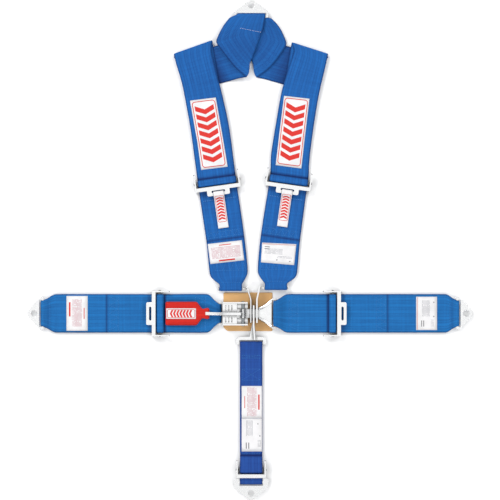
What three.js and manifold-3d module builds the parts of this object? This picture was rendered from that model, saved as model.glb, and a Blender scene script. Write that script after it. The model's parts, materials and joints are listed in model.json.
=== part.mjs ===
// Five-point racing harness with a latch-and-link buckle, lying flat. Millimetres, +Z up, floor at z = 0.
// +Y points to the shoulder anchor, -Y to the crotch anchor, and the lap belt runs along X.
import * as THREE from "three";
import { mergeVertices } from "three/addons/utils/BufferGeometryUtils.js";
import Module from "manifold-3d";

const wasm = await Module();
wasm.setup();

// ---- Driving dimensions ----
const GAP = 0.3; // play between neighbouring pieces
const WEB_HALF = 38.1; // half the width of 3 inch webbing
const WEB_THICK = 1.6;
const CROTCH_HALF = 22.2; // half the width of 1 3/4 inch webbing
const PATCH_THICK = 0.6;
const RIBBON_HALF = 10.3; // release ribbon on a shoulder adjuster
const RIBBON_THICK = 0.8;

const LAP_Y = -126; // centreline of the lap belt
const LAP_END_HALF = 25.5; // half the width of the lap webbing where it goes round its anchor plate
const LAP_LEFT = { x: -190.5, y: LAP_Y, turn: 180, seam: 92.5, bevel: 193.5, edge: 224.5, hole: 237.2 };
const LAP_RIGHT = { x: 175.6, y: LAP_Y, turn: 0, seam: 95.9, bevel: 211, edge: 238.4, hole: 252.1 };
const SHOULDER_LEFT = { x: -63.8, y: 122.4, turn: -82 };
const SHOULDER_RIGHT = { x: 74.5, y: 125, turn: -98 };
const CROTCH = { x: 2, y: -447.1, turn: -90, edge: 17.5, hole: 35.3 };

// Adjuster, in its own frame: u along the strap towards the sewn webbing, v across, z up.
const CHEEK_IN = 4; // from the webbing's edge to the inner face of a cheek
const CHEEK_THICK = 3;
const CROSS_Z = [12.2, 14.7];
const CROSS_HALF_U = 3.7;
const PIN_R = 2.5; // fixed bar that the sewn webbing goes round
const PIN_Z = 5.5;
const LOCK = { u: -12, z: 8.5, halfU: 5, halfZ: 2.3, tenon: 2.2 };
const TAB = { out: 14.7, half: 22.5, slotHalf: 13.5, slotFrom: 4.6, slotTo: 9 };

// Slot bars of the plates, which the webbing loops go round.
const BAR_HALF = 2; // half the width of a plate's end bar
const LOOP_R = 3.7; // middle of the webbing round a bar
const LOOP_OUTER_R = 5.6; // middle of a second strap laid over the first
const SLOT = 5;
const PLATE_THICK = 3.2;
const ANCHOR_Z = 4.9; // mid-height of the lap and crotch anchor plates
const TOP_Z = 6.8; // mid-height of the shoulder anchor plate
const BOLT_R = 6.35; // for a 1/2 inch or M12 bolt

const TOP = { x: 2.3, y: 461.3, half: 28.2, hole: 484.3, nose: 494.3 };

// Buckle, in world coordinates.
const LATCH = {
  bar: -61.3, right: -4.7, half: 23, baseZ: [4, 7.2], wallTop: 23, roofZ: [20, 22.5], roofTo: -26,
};
const LATCH_WEB_HALF = 18.5;
const HINGE = { x: -14, z: 19.5, r: 5, pin: 3, half: 9 };
const TONGUE = { z: 12.5, thick: 3.4, tip: -42, half: 9, bar: 49.8, webHalf: 25.3, ear: 30 };
const LINK = { thick: 3, z: [3, 21], window: [4.3, 18], windowY: [-139.5, -113.5], endY: -144 };
const LINK_X = { left: 1.3, crotch: 6.9, right: 13.3 };
const SLEEVE = { from: -167.3, to: -105.5, neck: -94.5, half: 23.4, neckHalf: 8.6, z: [8.2, 15.8] };
const SLEEVE_MOUTH = { flare: -84, flareHalf: 11.3, end: -80.5, endHalf: 9.6 };

const SURFACES = {
  webbing: { color: 0x2560aa, roughness: 0.75, metalness: 0 },
  red: { color: 0xe23b2a, roughness: 0.7, metalness: 0 },
  patch: { color: 0xf2f0ec, roughness: 0.6, metalness: 0 },
  chrome: { color: 0xd8dade, roughness: 0.2, metalness: 1 },
  steel: { color: 0xb9bcc2, roughness: 0.35, metalness: 1 },
  leather: { color: 0xe0a05a, roughness: 0.65, metalness: 0 },
};

const harness = new THREE.Group();
harness.name = "racing_harness";

function addPiece(name, geometry, surface) {
  const mesh = new THREE.Mesh(geometry, new THREE.MeshStandardMaterial(SURFACES[surface]));
  mesh.name = name;
  harness.add(mesh);
}

// ---- Solids ----
function solid(geometry) {
  const bare = geometry.clone();
  bare.deleteAttribute("normal");
  bare.deleteAttribute("uv");
  const merged = mergeVertices(bare, 1e-3);
  return new wasm.Manifold(
    new wasm.Mesh({
      numProp: 3,
      vertProperties: merged.attributes.position.array,
      triVerts: new Uint32Array(merged.index.array),
    }),
  );
}

function geometryOf(made) {
  const mesh = made.getMesh();
  const geometry = new THREE.BufferGeometry();
  geometry.setAttribute("position", new THREE.BufferAttribute(mesh.vertProperties, 3));
  geometry.setIndex(new THREE.BufferAttribute(mesh.triVerts, 1));
  return geometry;
}

function join(parts, cuts = []) {
  let made = solid(parts[0]);
  for (const part of parts.slice(1)) made = made.add(solid(part));
  for (const cut of cuts) made = made.subtract(solid(cut));
  return geometryOf(made);
}

function box(x0, x1, y0, y1, z0, z1) {
  const geometry = new THREE.BoxGeometry(x1 - x0, y1 - y0, z1 - z0);
  return geometry.translate((x0 + x1) / 2, (y0 + y1) / 2, (z0 + z1) / 2);
}

function outline(points) {
  const shape = new THREE.Shape();
  points.forEach(([x, y], i) => (i ? shape.lineTo(x, y) : shape.moveTo(x, y)));
  shape.closePath();
  return shape;
}

function roundedOutline(points, radius) {
  const corners = points.map((p) => new THREE.Vector2(...p));
  const shape = new THREE.Shape();
  corners.forEach((corner, i) => {
    const before = corners.at(i - 1).clone().sub(corner);
    const after = corners[(i + 1) % corners.length].clone().sub(corner);
    const reach = Math.min(radius, before.length() * 0.45, after.length() * 0.45);
    const start = corner.clone().add(before.setLength(reach));
    const end = corner.clone().add(after.setLength(reach));
    if (i) shape.lineTo(start.x, start.y);
    else shape.moveTo(start.x, start.y);
    shape.quadraticCurveTo(corner.x, corner.y, end.x, end.y);
  });
  shape.closePath();
  return shape;
}

function stadium(x, y, halfX, halfY) {
  const straight = halfX - halfY;
  const shape = new THREE.Shape();
  shape.absarc(x + straight, y, halfY, -Math.PI / 2, Math.PI / 2, false);
  shape.absarc(x - straight, y, halfY, Math.PI / 2, (3 * Math.PI) / 2, false);
  shape.closePath();
  return shape;
}

function flat(shape, z0, z1, curveSegments = 8) {
  const geometry = new THREE.ExtrudeGeometry(shape, { depth: z1 - z0, bevelEnabled: false, curveSegments });
  return geometry.translate(0, 0, z0);
}

// A profile in the x-z plane, carried along y from y0 to y1.
function across(shape, y0, y1, curveSegments = 8) {
  const geometry = new THREE.ExtrudeGeometry(shape, { depth: y1 - y0, bevelEnabled: false, curveSegments });
  return geometry.rotateX(Math.PI / 2).translate(0, y1, 0);
}

function rod(x, z, radius, y0, y1, sides = 20) {
  return new THREE.CylinderGeometry(radius, radius, y1 - y0, sides).translate(x, (y0 + y1) / 2, z);
}

function bolt(x, y, radius, z0, z1) {
  return new THREE.CylinderGeometry(radius, radius, z1 - z0, 28)
    .rotateX(Math.PI / 2)
    .translate(x, y, (z0 + z1) / 2);
}

// ---- Webbing ----
// A station is a pair of selvage points. A strap joins them and has the webbing's thickness.
function strap(stations, thick = WEB_THICK) {
  const corners = [];
  stations.forEach(([a, b], i) => {
    const before = stations[Math.max(i - 1, 0)];
    const after = stations[Math.min(i + 1, stations.length - 1)];
    const along = after[0].clone().add(after[1]).sub(before[0]).sub(before[1]);
    const normal = a.clone().sub(b).cross(along).setLength(thick / 2);
    corners.push(a.clone().add(normal), b.clone().add(normal), b.clone().sub(normal), a.clone().sub(normal));
  });
  const faces = [];
  const quad = (p, q, r, s) => faces.push(p, q, r, p, r, s);
  for (let i = 0; i + 1 < stations.length; i++) {
    for (let k = 0; k < 4; k++) {
      const next = (k + 1) % 4;
      quad(4 * i + k, 4 * i + 4 + k, 4 * i + 4 + next, 4 * i + next);
    }
  }
  const last = 4 * (stations.length - 1);
  quad(0, 1, 2, 3);
  quad(last + 3, last + 2, last + 1, last);
  const geometry = new THREE.BufferGeometry();
  geometry.setAttribute("position", new THREE.Float32BufferAttribute(corners.flatMap((c) => c.toArray()), 3));
  geometry.setIndex(faces);
  return solid(geometry).volume() < 0 ? turned(geometry) : geometry;
}

function turned(geometry) {
  geometry.index.array.reverse();
  return geometry;
}

// The frame of one strap: u along it, v across it.
function strapFrame({ x, y, turn }) {
  const radians = THREE.MathUtils.degToRad(turn);
  const cos = Math.cos(radians);
  const sin = Math.sin(radians);
  const point = (u, v, z) => new THREE.Vector3(x + u * cos - v * sin, y + u * sin + v * cos, z);
  return {
    pair: (u, z, half = WEB_HALF) => [point(u, half, z), point(u, -half, z)],
    place: (geometry) => geometry.rotateZ(radians).translate(x, y, 0),
  };
}

function worldPair(right, left, zRight, zLeft = zRight) {
  return [new THREE.Vector3(...right, zRight), new THREE.Vector3(...left, zLeft)];
}

// Stations round a bar at (u, z), from one angle to another in degrees.
function roundBar(frame, u, z, radius, from, to, half, steps = 6) {
  const made = [];
  for (let i = 0; i <= steps; i++) {
    const angle = THREE.MathUtils.degToRad(from + ((to - from) * i) / steps);
    made.push(frame.pair(u + radius * Math.cos(angle), z + radius * Math.sin(angle), half));
  }
  return made;
}

// A strap end that comes in above its bar, goes round it and is sewn back under itself. The bar lies
// in direction `way` (+1 or -1 along u), and `full` is the half width where the folded-in edges end.
function sewnEnd(frame, bar, z, narrow, full, way, { radius = LOOP_R, bevel = 31, back = 55, level = 4.4 }) {
  const turns = way > 0 ? [90, -90] : [90, 270];
  const low = level - 2.5;
  const taper = narrow + ((full - narrow) * 9) / bevel;
  return [
    frame.pair(bar - way * bevel, level, full),
    frame.pair(bar - way * 9, Math.max((level + z + radius) / 2, z), taper),
    ...roundBar(frame, bar, z, radius, ...turns, narrow),
    frame.pair(bar - way * 9, (low + z - radius) / 2, taper),
    frame.pair(bar - way * bevel, low, full - 1),
    frame.pair(bar - way * back, low, full - 1),
  ];
}

// Webbing sewn round the fixed bar of an adjuster, from its sewn end to the upper layer.
function sewnRoundPin(frame, half, seam) {
  return [
    frame.pair(seam, 1.9, half - 1),
    frame.pair(14, 1.9, half - 1),
    ...roundBar(frame, 0, PIN_Z, PIN_R + GAP + WEB_THICK / 2, -90, -270, half, 8),
    frame.pair(5, 8.4, half),
    frame.pair(12, 5.2, half),
    frame.pair(17, 4.4, half),
  ];
}

// Webbing threaded over an adjuster's lock bar, from its loose tail to the standing part.
function roundLockBar(frame, half, tail, dip = 0) {
  const radius = LOCK.halfZ + GAP + WEB_THICK / 2;
  const end = LOCK.halfU - LOCK.halfZ;
  return [
    frame.pair(-tail, 2.4, half - 1),
    frame.pair(-24, 2.4, half - 1),
    frame.pair(-18, 3.2, half - 1),
    frame.pair(-13.5, 4.8, half),
    ...roundBar(frame, LOCK.u + end, LOCK.z, radius, -90, 90, half, 8),
    frame.pair(-15.4 - dip, 11.8, half),
    frame.pair(-17.9 - dip, 10, half),
    frame.pair(-19.6 - dip, 7.2, half),
    frame.pair(-22.8 - dip, 5.5, half),
    frame.pair(-27 - dip, 5, half),
  ];
}

// ---- Adjusters ----
function adjusterBody(half, withTab) {
  const inner = half + CHEEK_IN;
  const outer = inner + CHEEK_THICK;
  const cheek = roundedOutline(
    [[4.6, 1.5], [4.6, 14.7], [-31.9, 14.7], [-31.9, 9.6], [-22, 4.6], [-12, 2.5]],
    2.2,
  );
  const parts = [
    across(cheek, inner, outer, 3),
    across(cheek, -outer, -inner, 3),
    box(-CROSS_HALF_U, CROSS_HALF_U, -outer, outer, ...CROSS_Z),
    rod(0, PIN_Z, PIN_R, -inner - 1, inner + 1, 16),
  ];
  const hole = stadium(LOCK.u, LOCK.z, 5.5, LOCK.tenon + GAP);
  const cuts = [across(hole, -outer - 1, -inner + 0.5, 6), across(hole, inner - 0.5, outer + 1, 6)];
  if (withTab) {
    const tab = [[0, -TAB.half], [TAB.out, -TAB.half], [TAB.out, TAB.half], [0, TAB.half]];
    const slotMiddle = (TAB.slotFrom + TAB.slotTo) / 2;
    const slotHalfU = (TAB.slotTo - TAB.slotFrom) / 2;
    const slot = stadium(0, 0, TAB.slotHalf, slotHalfU);
    parts.push(flat(roundedOutline(tab, 3.5), ...CROSS_Z, 4));
    cuts.push(flat(slot, CROSS_Z[0] - 1, CROSS_Z[1] + 1, 6).rotateZ(Math.PI / 2).translate(slotMiddle, 0, 0));
  }
  return join(parts, cuts);
}

function lockBar(half) {
  const core = across(stadium(LOCK.u, LOCK.z, LOCK.halfU, LOCK.halfZ), -half - 2, half + 2, 6);
  const reach = half + CHEEK_IN + CHEEK_THICK + 1.2;
  return join([core, rod(LOCK.u, LOCK.z, LOCK.tenon, -reach, reach, 16)]);
}

function addAdjuster(name, frame, half, withTab = true) {
  addPiece(`${name}_adjuster_frame`, frame.place(adjusterBody(half, withTab)), "chrome");
  addPiece(`${name}_lock_bar`, frame.place(lockBar(half)), "steel");
}

function releaseRibbon(frame) {
  const path = [
    [80, 6.1], [27, 6.1], [20, 7.3], [14, 10.6], [9.6, 11.2], [7.3, 12], [6.8, 13.4], [7.4, 15],
    [9.4, 15.6], [15.8, 15.5], [21, 10.4], [28, 7.4], [80, 7.4],
  ];
  return strap(path.map(([u, z]) => frame.pair(u, z, RIBBON_HALF)), RIBBON_THICK);
}

// ---- Plates ----
// An anchor plate whose end bar is centred at u = 0, with the bolt hole at u = hole. Its ears are `ear`
// wide, reach back to u = -back past the webbing, and have corners of radius `round`.
function anchorPlate({ webHalf, hole, nose, shoulder, z, ear = 5, back = BAR_HALF, round = 1.5 }) {
  const arm = webHalf + 1;
  const side = arm + ear;
  const noseR = nose - hole;
  const slope = Math.atan2(side - noseR, hole - shoulder);
  const shape = new THREE.Shape();
  shape.moveTo(-back + round, -side);
  shape.lineTo(shoulder - round, -side);
  shape.quadraticCurveTo(shoulder, -side, shoulder + round * 0.8, -side + round * 0.6);
  shape.absarc(hole, 0, noseR, -Math.PI / 2 + slope, Math.PI / 2 - slope, false);
  shape.lineTo(shoulder + round * 0.8, side - round * 0.6);
  shape.quadraticCurveTo(shoulder, side, shoulder - round, side);
  shape.lineTo(-back + round, side);
  shape.quadraticCurveTo(-back, side, -back, side - round);
  shape.lineTo(-back, -side + round);
  shape.quadraticCurveTo(-back, -side, -back + round, -side);
  const plate = flat(shape, z - PLATE_THICK / 2, z + PLATE_THICK / 2, 10);
  const slot = box(BAR_HALF, BAR_HALF + SLOT, -arm, arm, z - 3, z + 3);
  const mouth = box(-back - 1, -BAR_HALF, -arm, arm, z - 3, z + 3);
  return join([plate], [slot, mouth, bolt(hole, 0, BOLT_R, z - 3, z + 3)]);
}

// ---- Lap belt ----
const lapFrames = { left: strapFrame(LAP_LEFT), right: strapFrame(LAP_RIGHT) };

function addLapOuter(side, spec) {
  const frame = lapFrames[side];
  const bar = spec.edge - LOOP_R - WEB_THICK / 2;
  const webbing = [
    ...sewnRoundPin(frame, WEB_HALF, spec.seam),
    ...sewnEnd(frame, bar, ANCHOR_Z, LAP_END_HALF, WEB_HALF, 1, { bevel: bar - spec.bevel, back: 85 }),
  ];
  addPiece(`lap_webbing_${side}_outer`, strap(webbing), "webbing");
  const hole = spec.hole - bar;
  const plate = { webHalf: LAP_END_HALF, hole, nose: hole + 12.4, shoulder: 5, z: ANCHOR_Z };
  const way = spec.turn === 0 ? 1 : -1;
  const seat = strapFrame({ x: spec.x + way * bar, y: spec.y, turn: spec.turn });
  addPiece(`lap_anchor_${side}`, seat.place(anchorPlate(plate)), "chrome");
}

addAdjuster("lap_left", lapFrames.left, WEB_HALF);
addAdjuster("lap_right", lapFrames.right, WEB_HALF);
addLapOuter("left", LAP_LEFT);
addLapOuter("right", LAP_RIGHT);

const latchBar = LAP_LEFT.x - LATCH.bar;
const leftInner = [
  ...roundLockBar(lapFrames.left, WEB_HALF, 72),
  ...sewnEnd(lapFrames.left, latchBar, 5.6, LATCH_WEB_HALF, WEB_HALF, -1, { bevel: 24, back: 50, level: 5 }),
];
addPiece("lap_webbing_left_inner", strap(leftInner), "webbing");

const tongueBar = TONGUE.bar - LAP_RIGHT.x;
const rightInner = [
  ...roundLockBar(lapFrames.right, WEB_HALF, 72),
  ...sewnEnd(lapFrames.right, tongueBar, TONGUE.z, TONGUE.webHalf, WEB_HALF, -1, {
    bevel: 24, back: 48, level: 5.6,
  }),
];
addPiece("lap_webbing_right_inner", strap(rightInner), "webbing");

function patch(frame, from, to, half, z) {
  return strap([frame.pair(from, z, half), frame.pair(to, z, half)], PATCH_THICK);
}

// From the middle of the webbing to the middle of a patch on it.
const PATCH_RISE = WEB_THICK / 2 + GAP + PATCH_THICK / 2;
addPiece("lap_label_left", patch(lapFrames.left, 131.2, 173.2, 34.5, 4.4 + PATCH_RISE), "patch");
addPiece("lap_label_right", patch(lapFrames.right, 153, 194.4, 33, 4.4 + PATCH_RISE), "patch");

// ---- Shoulder straps below the adjusters ----
const shoulderFrames = { left: strapFrame(SHOULDER_LEFT), right: strapFrame(SHOULDER_RIGHT) };
const LINK_BAR = {
  left: { x: -38.6, y: -77.3, turn: -90 },
  right: { x: 51.2, y: -75.4, turn: -90 },
};
const LINK_WEB_HALF = 22.5;

const lowerMiddle = {
  left: [
    worldPair([-11.2, 24], [-86.6, 15.8], 4.4),
    worldPair([-4.9, -44], [-79.3, -50], 4.6),
  ],
  right: [
    worldPair([98.5, 15.8], [20.5, 24], 4.4),
    worldPair([92, -50], [15.4, -44], 4.6),
  ],
};

// A pair between two others, drawn in by 1 mm at each selvage, for the layer sewn under a strap.
function underPair([a0, b0], [a1, b1], t, z) {
  const a = a0.clone().lerp(a1, t).setZ(z);
  const b = b0.clone().lerp(b1, t).setZ(z);
  const inset = b.clone().sub(a).setLength(1);
  return [a.add(inset), b.sub(inset)];
}

for (const side of ["left", "right"]) {
  const frame = shoulderFrames[side];
  const end = strapFrame(LINK_BAR[side]);
  const webbing = [
    ...sewnRoundPin(frame, WEB_HALF, 100),
    ...lowerMiddle[side],
    end.pair(-9, 8, LINK_WEB_HALF),
    ...roundBar(end, 0, 6.5, LOOP_R, 90, -90, LINK_WEB_HALF),
    end.pair(-9, 2.6, LINK_WEB_HALF),
    underPair(...lowerMiddle[side], 1, 2),
    underPair(...lowerMiddle[side], 0.6, 2),
  ];
  addPiece(`shoulder_webbing_${side}_lower`, strap(webbing), "webbing");
  addAdjuster(`shoulder_${side}`, frame, WEB_HALF);
  addPiece(`release_ribbon_${side}`, releaseRibbon(frame), "patch");
}

const smallLabels = {
  left: [worldPair([-16.6, 18.9], [-84.2, 11.4], 5.8), worldPair([-11.8, -20.7], [-78.7, -28.3], 5.9)],
  right: [worldPair([91.5, 11], [23.7, 14.2], 5.8), worldPair([87, -30.5], [21.3, -24.9], 5.9)],
};
const largePatches = {
  left: [
    worldPair([-44.5, 164.4], [-96.9, 158], 6.6),
    worldPair([-53.5, 219], [-104.5, 213], 7.1),
    worldPair([-68, 301.3], [-119.1, 294.9], 8.2),
  ],
  right: [
    worldPair([101.3, 160.8], [50.5, 167.6], 6.6),
    worldPair([107.5, 215.5], [56.8, 222], 7.1),
    worldPair([117.5, 298.7], [67, 304.5], 8.2),
  ],
};
for (const side of ["left", "right"]) {
  addPiece(`shoulder_label_${side}`, strap(smallLabels[side], PATCH_THICK), "patch");
  addPiece(`shoulder_patch_${side}`, strap(largePatches[side], PATCH_THICK), "patch");
}

// ---- Shoulder straps above the adjusters, with the folded yoke ----
// A roll turns a strap over along a line between two selvage points, bulging towards `out`.
function roll(a, b, z, radius, out, from, to, steps = 4) {
  const made = [];
  for (let i = 0; i <= steps; i++) {
    const angle = THREE.MathUtils.degToRad(from + ((to - from) * i) / steps);
    const shift = radius * Math.cos(angle);
    const height = z + radius * Math.sin(angle);
    const moved = (p) => [p[0] + out[0] * shift, p[1] + out[1] * shift];
    made.push(worldPair(moved(a), moved(b), height));
  }
  return made;
}

function between(p, q, t) {
  return [p[0] + (q[0] - p[0]) * t, p[1] + (q[1] - p[1]) * t];
}

// The band that crosses behind the strap, from the diagonal fold to the fold over it.
function crossBand(fromA, fromB, toA, toB, heights) {
  return heights.map(([t, z]) => worldPair(between(fromA, toA, t), between(fromB, toB, t), z));
}

const top = strapFrame({ x: TOP.x, y: TOP.y, turn: 90 });

const upperMiddle = {
  left: [worldPair([-34.3, 190], [-110, 180], 5.1), worldPair([-42.8, 250], [-118, 239], 5.8)],
  right: [worldPair([117.5, 180], [41.5, 190], 5.1), worldPair([125, 239], [51, 250], 5.8)],
};
const leftUpper = [
  underPair(...upperMiddle.left, 0.5, 2.4),
  ...roundLockBar(shoulderFrames.left, WEB_HALF, 30),
  ...upperMiddle.left,
  worldPair([-56.5, 312], [-128.5, 298], 6.6),
  worldPair([-66.5, 350], [-136, 333], 7),
  worldPair([-76.4, 393], [-146.2, 367], 7),
  ...roll([-74.7, 413], [-150.7, 386], 5.55, 1.45, [-0.335, 0.942], 90, -90),
  ...roll([-61.5, 329], [-150.5, 382], 2.7, 1.4, [-0.512, -0.859], 90, -90),
  ...crossBand(
    [-61.5, 329], [-150.5, 382], [-12.2, 341.7], [19.1, 427.2],
    [[0.32, 1.3], [0.6, 4.4], [0.8, 7.4]],
  ),
  ...roll([-12.2, 341.7], [19.1, 427.2], 9.4, 1.4, [0.939, -0.344], -90, 90),
  worldPair([-36.2, 367.7], [21.9, 430], 10.9),
  worldPair([-66.4, 408.2], [25.7, 436], 11.1),
  worldPair([-62.8, 424], [27.1, 443], 11.5),
  worldPair([-52, 444], [28, 449], 12),
  worldPair([-41, 457.8], [29.4, 457.6], 12.4),
  worldPair([-34, 461.6], [30, 461.6], 12.3),
  worldPair([-27.4, 464.6], [29.9, 464.6], 11.2),
  ...roundBar(top, 0, TOP_Z, LOOP_OUTER_R, 25, -90, TOP.half, 6),
  top.pair(-26, 1.2, TOP.half),
];
addPiece("shoulder_webbing_left_upper", strap(leftUpper), "webbing");

const rightUpper = [
  underPair(...upperMiddle.right, 0.5, 2.4),
  ...roundLockBar(shoulderFrames.right, WEB_HALF, 30),
  ...upperMiddle.right,
  worldPair([134.4, 298], [62, 312], 6.6),
  worldPair([142, 333], [73, 350], 7),
  worldPair([149.6, 365], [87, 393], 7),
  ...roll([154, 386], [82, 409], 5.55, 1.45, [0.335, 0.942], 90, -90),
  ...roll([154, 382], [68, 327.2], 2.7, 1.4, [0.512, -0.859], 90, -90),
  ...crossBand([154, 382], [68, 327.2], [-13.7, 427.2], [17, 341.7], [[0.5, 1.3]]),
  ...roll([-13.7, 427.2], [17, 341.7], 2.75, 1.45, [-0.939, -0.344], -90, 90),
  worldPair([-16.5, 430], [45.9, 367.7], 4.3),
  worldPair([-20.3, 434], [71.3, 404.4], 4.6),
  worldPair([-21.7, 440], [67, 423], 5.4),
  worldPair([-22.1, 448], [56, 443], 7.4),
  worldPair([-23.4, 453.5], [41, 458], 9.4),
  top.pair(-4, 10.5, TOP.half),
  ...roundBar(top, 0, TOP_Z, LOOP_R, 90, -90, TOP.half),
  top.pair(-26, 3.1, TOP.half),
];
addPiece("shoulder_webbing_right_upper", strap(rightUpper), "webbing");

const topPlate = {
  webHalf: TOP.half, hole: TOP.hole - TOP.y, nose: TOP.nose - TOP.y, shoulder: 10, z: TOP_Z, ear: 4.5,
};
addPiece("top_anchor", top.place(anchorPlate(topPlate)), "chrome");

// ---- Crotch strap ----
const crotchFrame = strapFrame(CROTCH);
const CROTCH_LINK_Y = -185.9;
// How much sooner than on the wide straps the crotch strap drops beside its lock bar.
const CROTCH_DIP = 18.9;
const crotchLinkBar = CROTCH.y - CROTCH_LINK_Y;
const crotchWebbing = [
  ...roundLockBar(crotchFrame, CROTCH_HALF, 100, CROTCH_DIP),
  ...sewnEnd(crotchFrame, crotchLinkBar, ANCHOR_Z, CROTCH_HALF, CROTCH_HALF, -1, {
    bevel: 22, back: 75, level: 5,
  }),
];
addPiece("crotch_webbing", strap(crotchWebbing), "webbing");
addAdjuster("crotch", crotchFrame, CROTCH_HALF, false);

const crotchBar = CROTCH.edge - LOOP_R - WEB_THICK / 2;
const crotchLoop = [
  crotchFrame.pair(7.4, 1.3, CROTCH_HALF),
  ...roundBar(crotchFrame, 0, PIN_Z, PIN_R + GAP + WEB_THICK / 2, -90, -270, CROTCH_HALF, 8),
  ...roundBar(crotchFrame, crotchBar, ANCHOR_Z, LOOP_R, 90, -90, CROTCH_HALF),
  crotchFrame.pair(9.6, 1.3, CROTCH_HALF),
];
addPiece("crotch_loop_strap", strap(crotchLoop), "webbing");
const crotchPlate = {
  webHalf: CROTCH_HALF, hole: CROTCH.hole - crotchBar, nose: 34.2, shoulder: 9, z: ANCHOR_Z,
  ear: 11.4, back: 7.5, round: 7,
};
const crotchSeat = strapFrame({ x: CROTCH.x, y: CROTCH.y - crotchBar, turn: -90 });
addPiece("crotch_anchor", crotchSeat.place(anchorPlate(crotchPlate)), "chrome");
const crotchLabelFrame = strapFrame({ x: CROTCH.x + 1.3, y: CROTCH.y, turn: -90 });
addPiece("crotch_label_upper", patch(crotchLabelFrame, -177.4, -113.6, 20.2, 5 + PATCH_RISE), "patch");
addPiece("crotch_label_lower", patch(crotchLabelFrame, -113.2, -47.8, 20.2, 5 + PATCH_RISE), "patch");

// ---- Links ----
function linkEye(points, endY = LINK.endY) {
  const half = LINK.thick / 2;
  const left = points.map(([x, y]) => [x - half, y]);
  const right = points.map(([x, y]) => [x + half, y]).reverse();
  const band = flat(outline([...left, ...right]), ...LINK.z);
  const x = points.at(-1)[0];
  const window = box(x - 3, x + 3, ...LINK.windowY, ...LINK.window);
  const trim = box(x - 3, x + 3, endY - 10, endY, LINK.z[0] - 1, LINK.z[1] + 1);
  return { band, cuts: [window, trim] };
}

for (const [side, way] of [["left", 1], ["right", -1]]) {
  const { x, y } = LINK_BAR[side];
  const inner = x + way * (LINK_WEB_HALF + 9.5);
  const eye = linkEye([[inner, y + 5], [LINK_X[side], -97.7], [LINK_X[side], LINK.endY - 1]]);
  const barX = [x - way * (LINK_WEB_HALF + 3), inner].sort((p, q) => p - q);
  const bar = box(...barX, y - BAR_HALF, y + BAR_HALF, 4.9, 8.1);
  const stop = box(barX[0], barX[0] + 2.6, y - 4, y + 4, 4.9, 8.1);
  const outerStop = way > 0 ? stop : stop.translate(barX[1] - barX[0] - 2.6, 0, 0);
  addPiece(`shoulder_link_${side}`, join([bar, outerStop, eye.band], eye.cuts), "chrome");
}

const crotchEye = linkEye([[CROTCH.x + 7, -178], [LINK_X.crotch, -150], [LINK_X.crotch, -109.5]], -300);
const crotchLinkShape = roundedOutline(
  [[-28, -187.9], [-28, -176], [-21, -172.3], [25, -172.3], [32.4, -176], [32.4, -187.9]],
  4,
);
const crotchLinkPlate = flat(crotchLinkShape, ANCHOR_Z - PLATE_THICK / 2, ANCHOR_Z + PLATE_THICK / 2, 4);
const crotchNeck = flat(outline([[-1.3, -173], [12.2, -173], [8.4, -146], [4.2, -146]]), 3.3, 6.5);
const crotchSlot = box(CROTCH.x - 23.2, CROTCH.x + 23.2, -183.9, -178.9, 2, 8);
const crotchLink = join([crotchLinkPlate, crotchNeck, crotchEye.band], [crotchSlot, crotchEye.cuts[0]]);
addPiece("crotch_link", crotchLink, "chrome");

// ---- Tongue ----
const tongueHalf = [
  [TONGUE.tip, 6], [TONGUE.tip + 4, TONGUE.half], [15.8, TONGUE.half], [18, 12.8], [21, 14], [26, 16.4],
  [31, 19.6], [36, 23.4], [40.5, 27.4], [43.6, TONGUE.ear], [TONGUE.bar + BAR_HALF, TONGUE.ear],
];
const tongueShape = outline([...tongueHalf, ...tongueHalf.map(([x, y]) => [x, -y]).reverse()]);
const tongueZ = [TONGUE.z - TONGUE.thick / 2, TONGUE.z + TONGUE.thick / 2];
const tonguePlate = flat(tongueShape, ...tongueZ);
const tongueSlotX = [TONGUE.bar - BAR_HALF - SLOT, TONGUE.bar - BAR_HALF];
const tongueSlot = box(...tongueSlotX, -TONGUE.webHalf - 1, TONGUE.webHalf + 1, 5, 20);
addPiece("tongue_plate", join([tonguePlate], [tongueSlot]).translate(0, LAP_Y, 0), "chrome");

// ---- Latch and lever ----
const wallX = [LATCH.bar + BAR_HALF + SLOT, LATCH.right];
const latchParts = [
  box(LATCH.bar - BAR_HALF, LATCH.right, -LATCH.half, LATCH.half, ...LATCH.baseZ),
  box(...wallX, LATCH.half - 3, LATCH.half, LATCH.baseZ[0], LATCH.wallTop),
  box(...wallX, -LATCH.half, -LATCH.half + 3, LATCH.baseZ[0], LATCH.wallTop),
  box(wallX[0], LATCH.roofTo, -LATCH.half + 1, LATCH.half - 1, ...LATCH.roofZ),
];
const latchSlotHalf = LATCH_WEB_HALF + 0.8;
const latchCuts = [
  box(LATCH.bar + BAR_HALF, wallX[0] - 0.01, -latchSlotHalf, latchSlotHalf, 2, 9),
  across(stadium(HINGE.x, HINGE.z, HINGE.pin + GAP, HINGE.pin + GAP - 0.01), -30, 30, 8),
];
for (const x of [-48, -42, -36]) {
  latchCuts.push(box(x - 1.2, x + 1.2, -17, -5.5, 18, 25), box(x - 1.2, x + 1.2, 5.5, 17, 18, 25));
}
addPiece("latch_body", join(latchParts, latchCuts).translate(0, LAP_Y, 0), "chrome");
const pinReach = LATCH.half + 1.5;
addPiece("lever_pin", rod(HINGE.x, HINGE.z, HINGE.pin, -pinReach, pinReach).translate(0, LAP_Y, 0), "steel");

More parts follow.
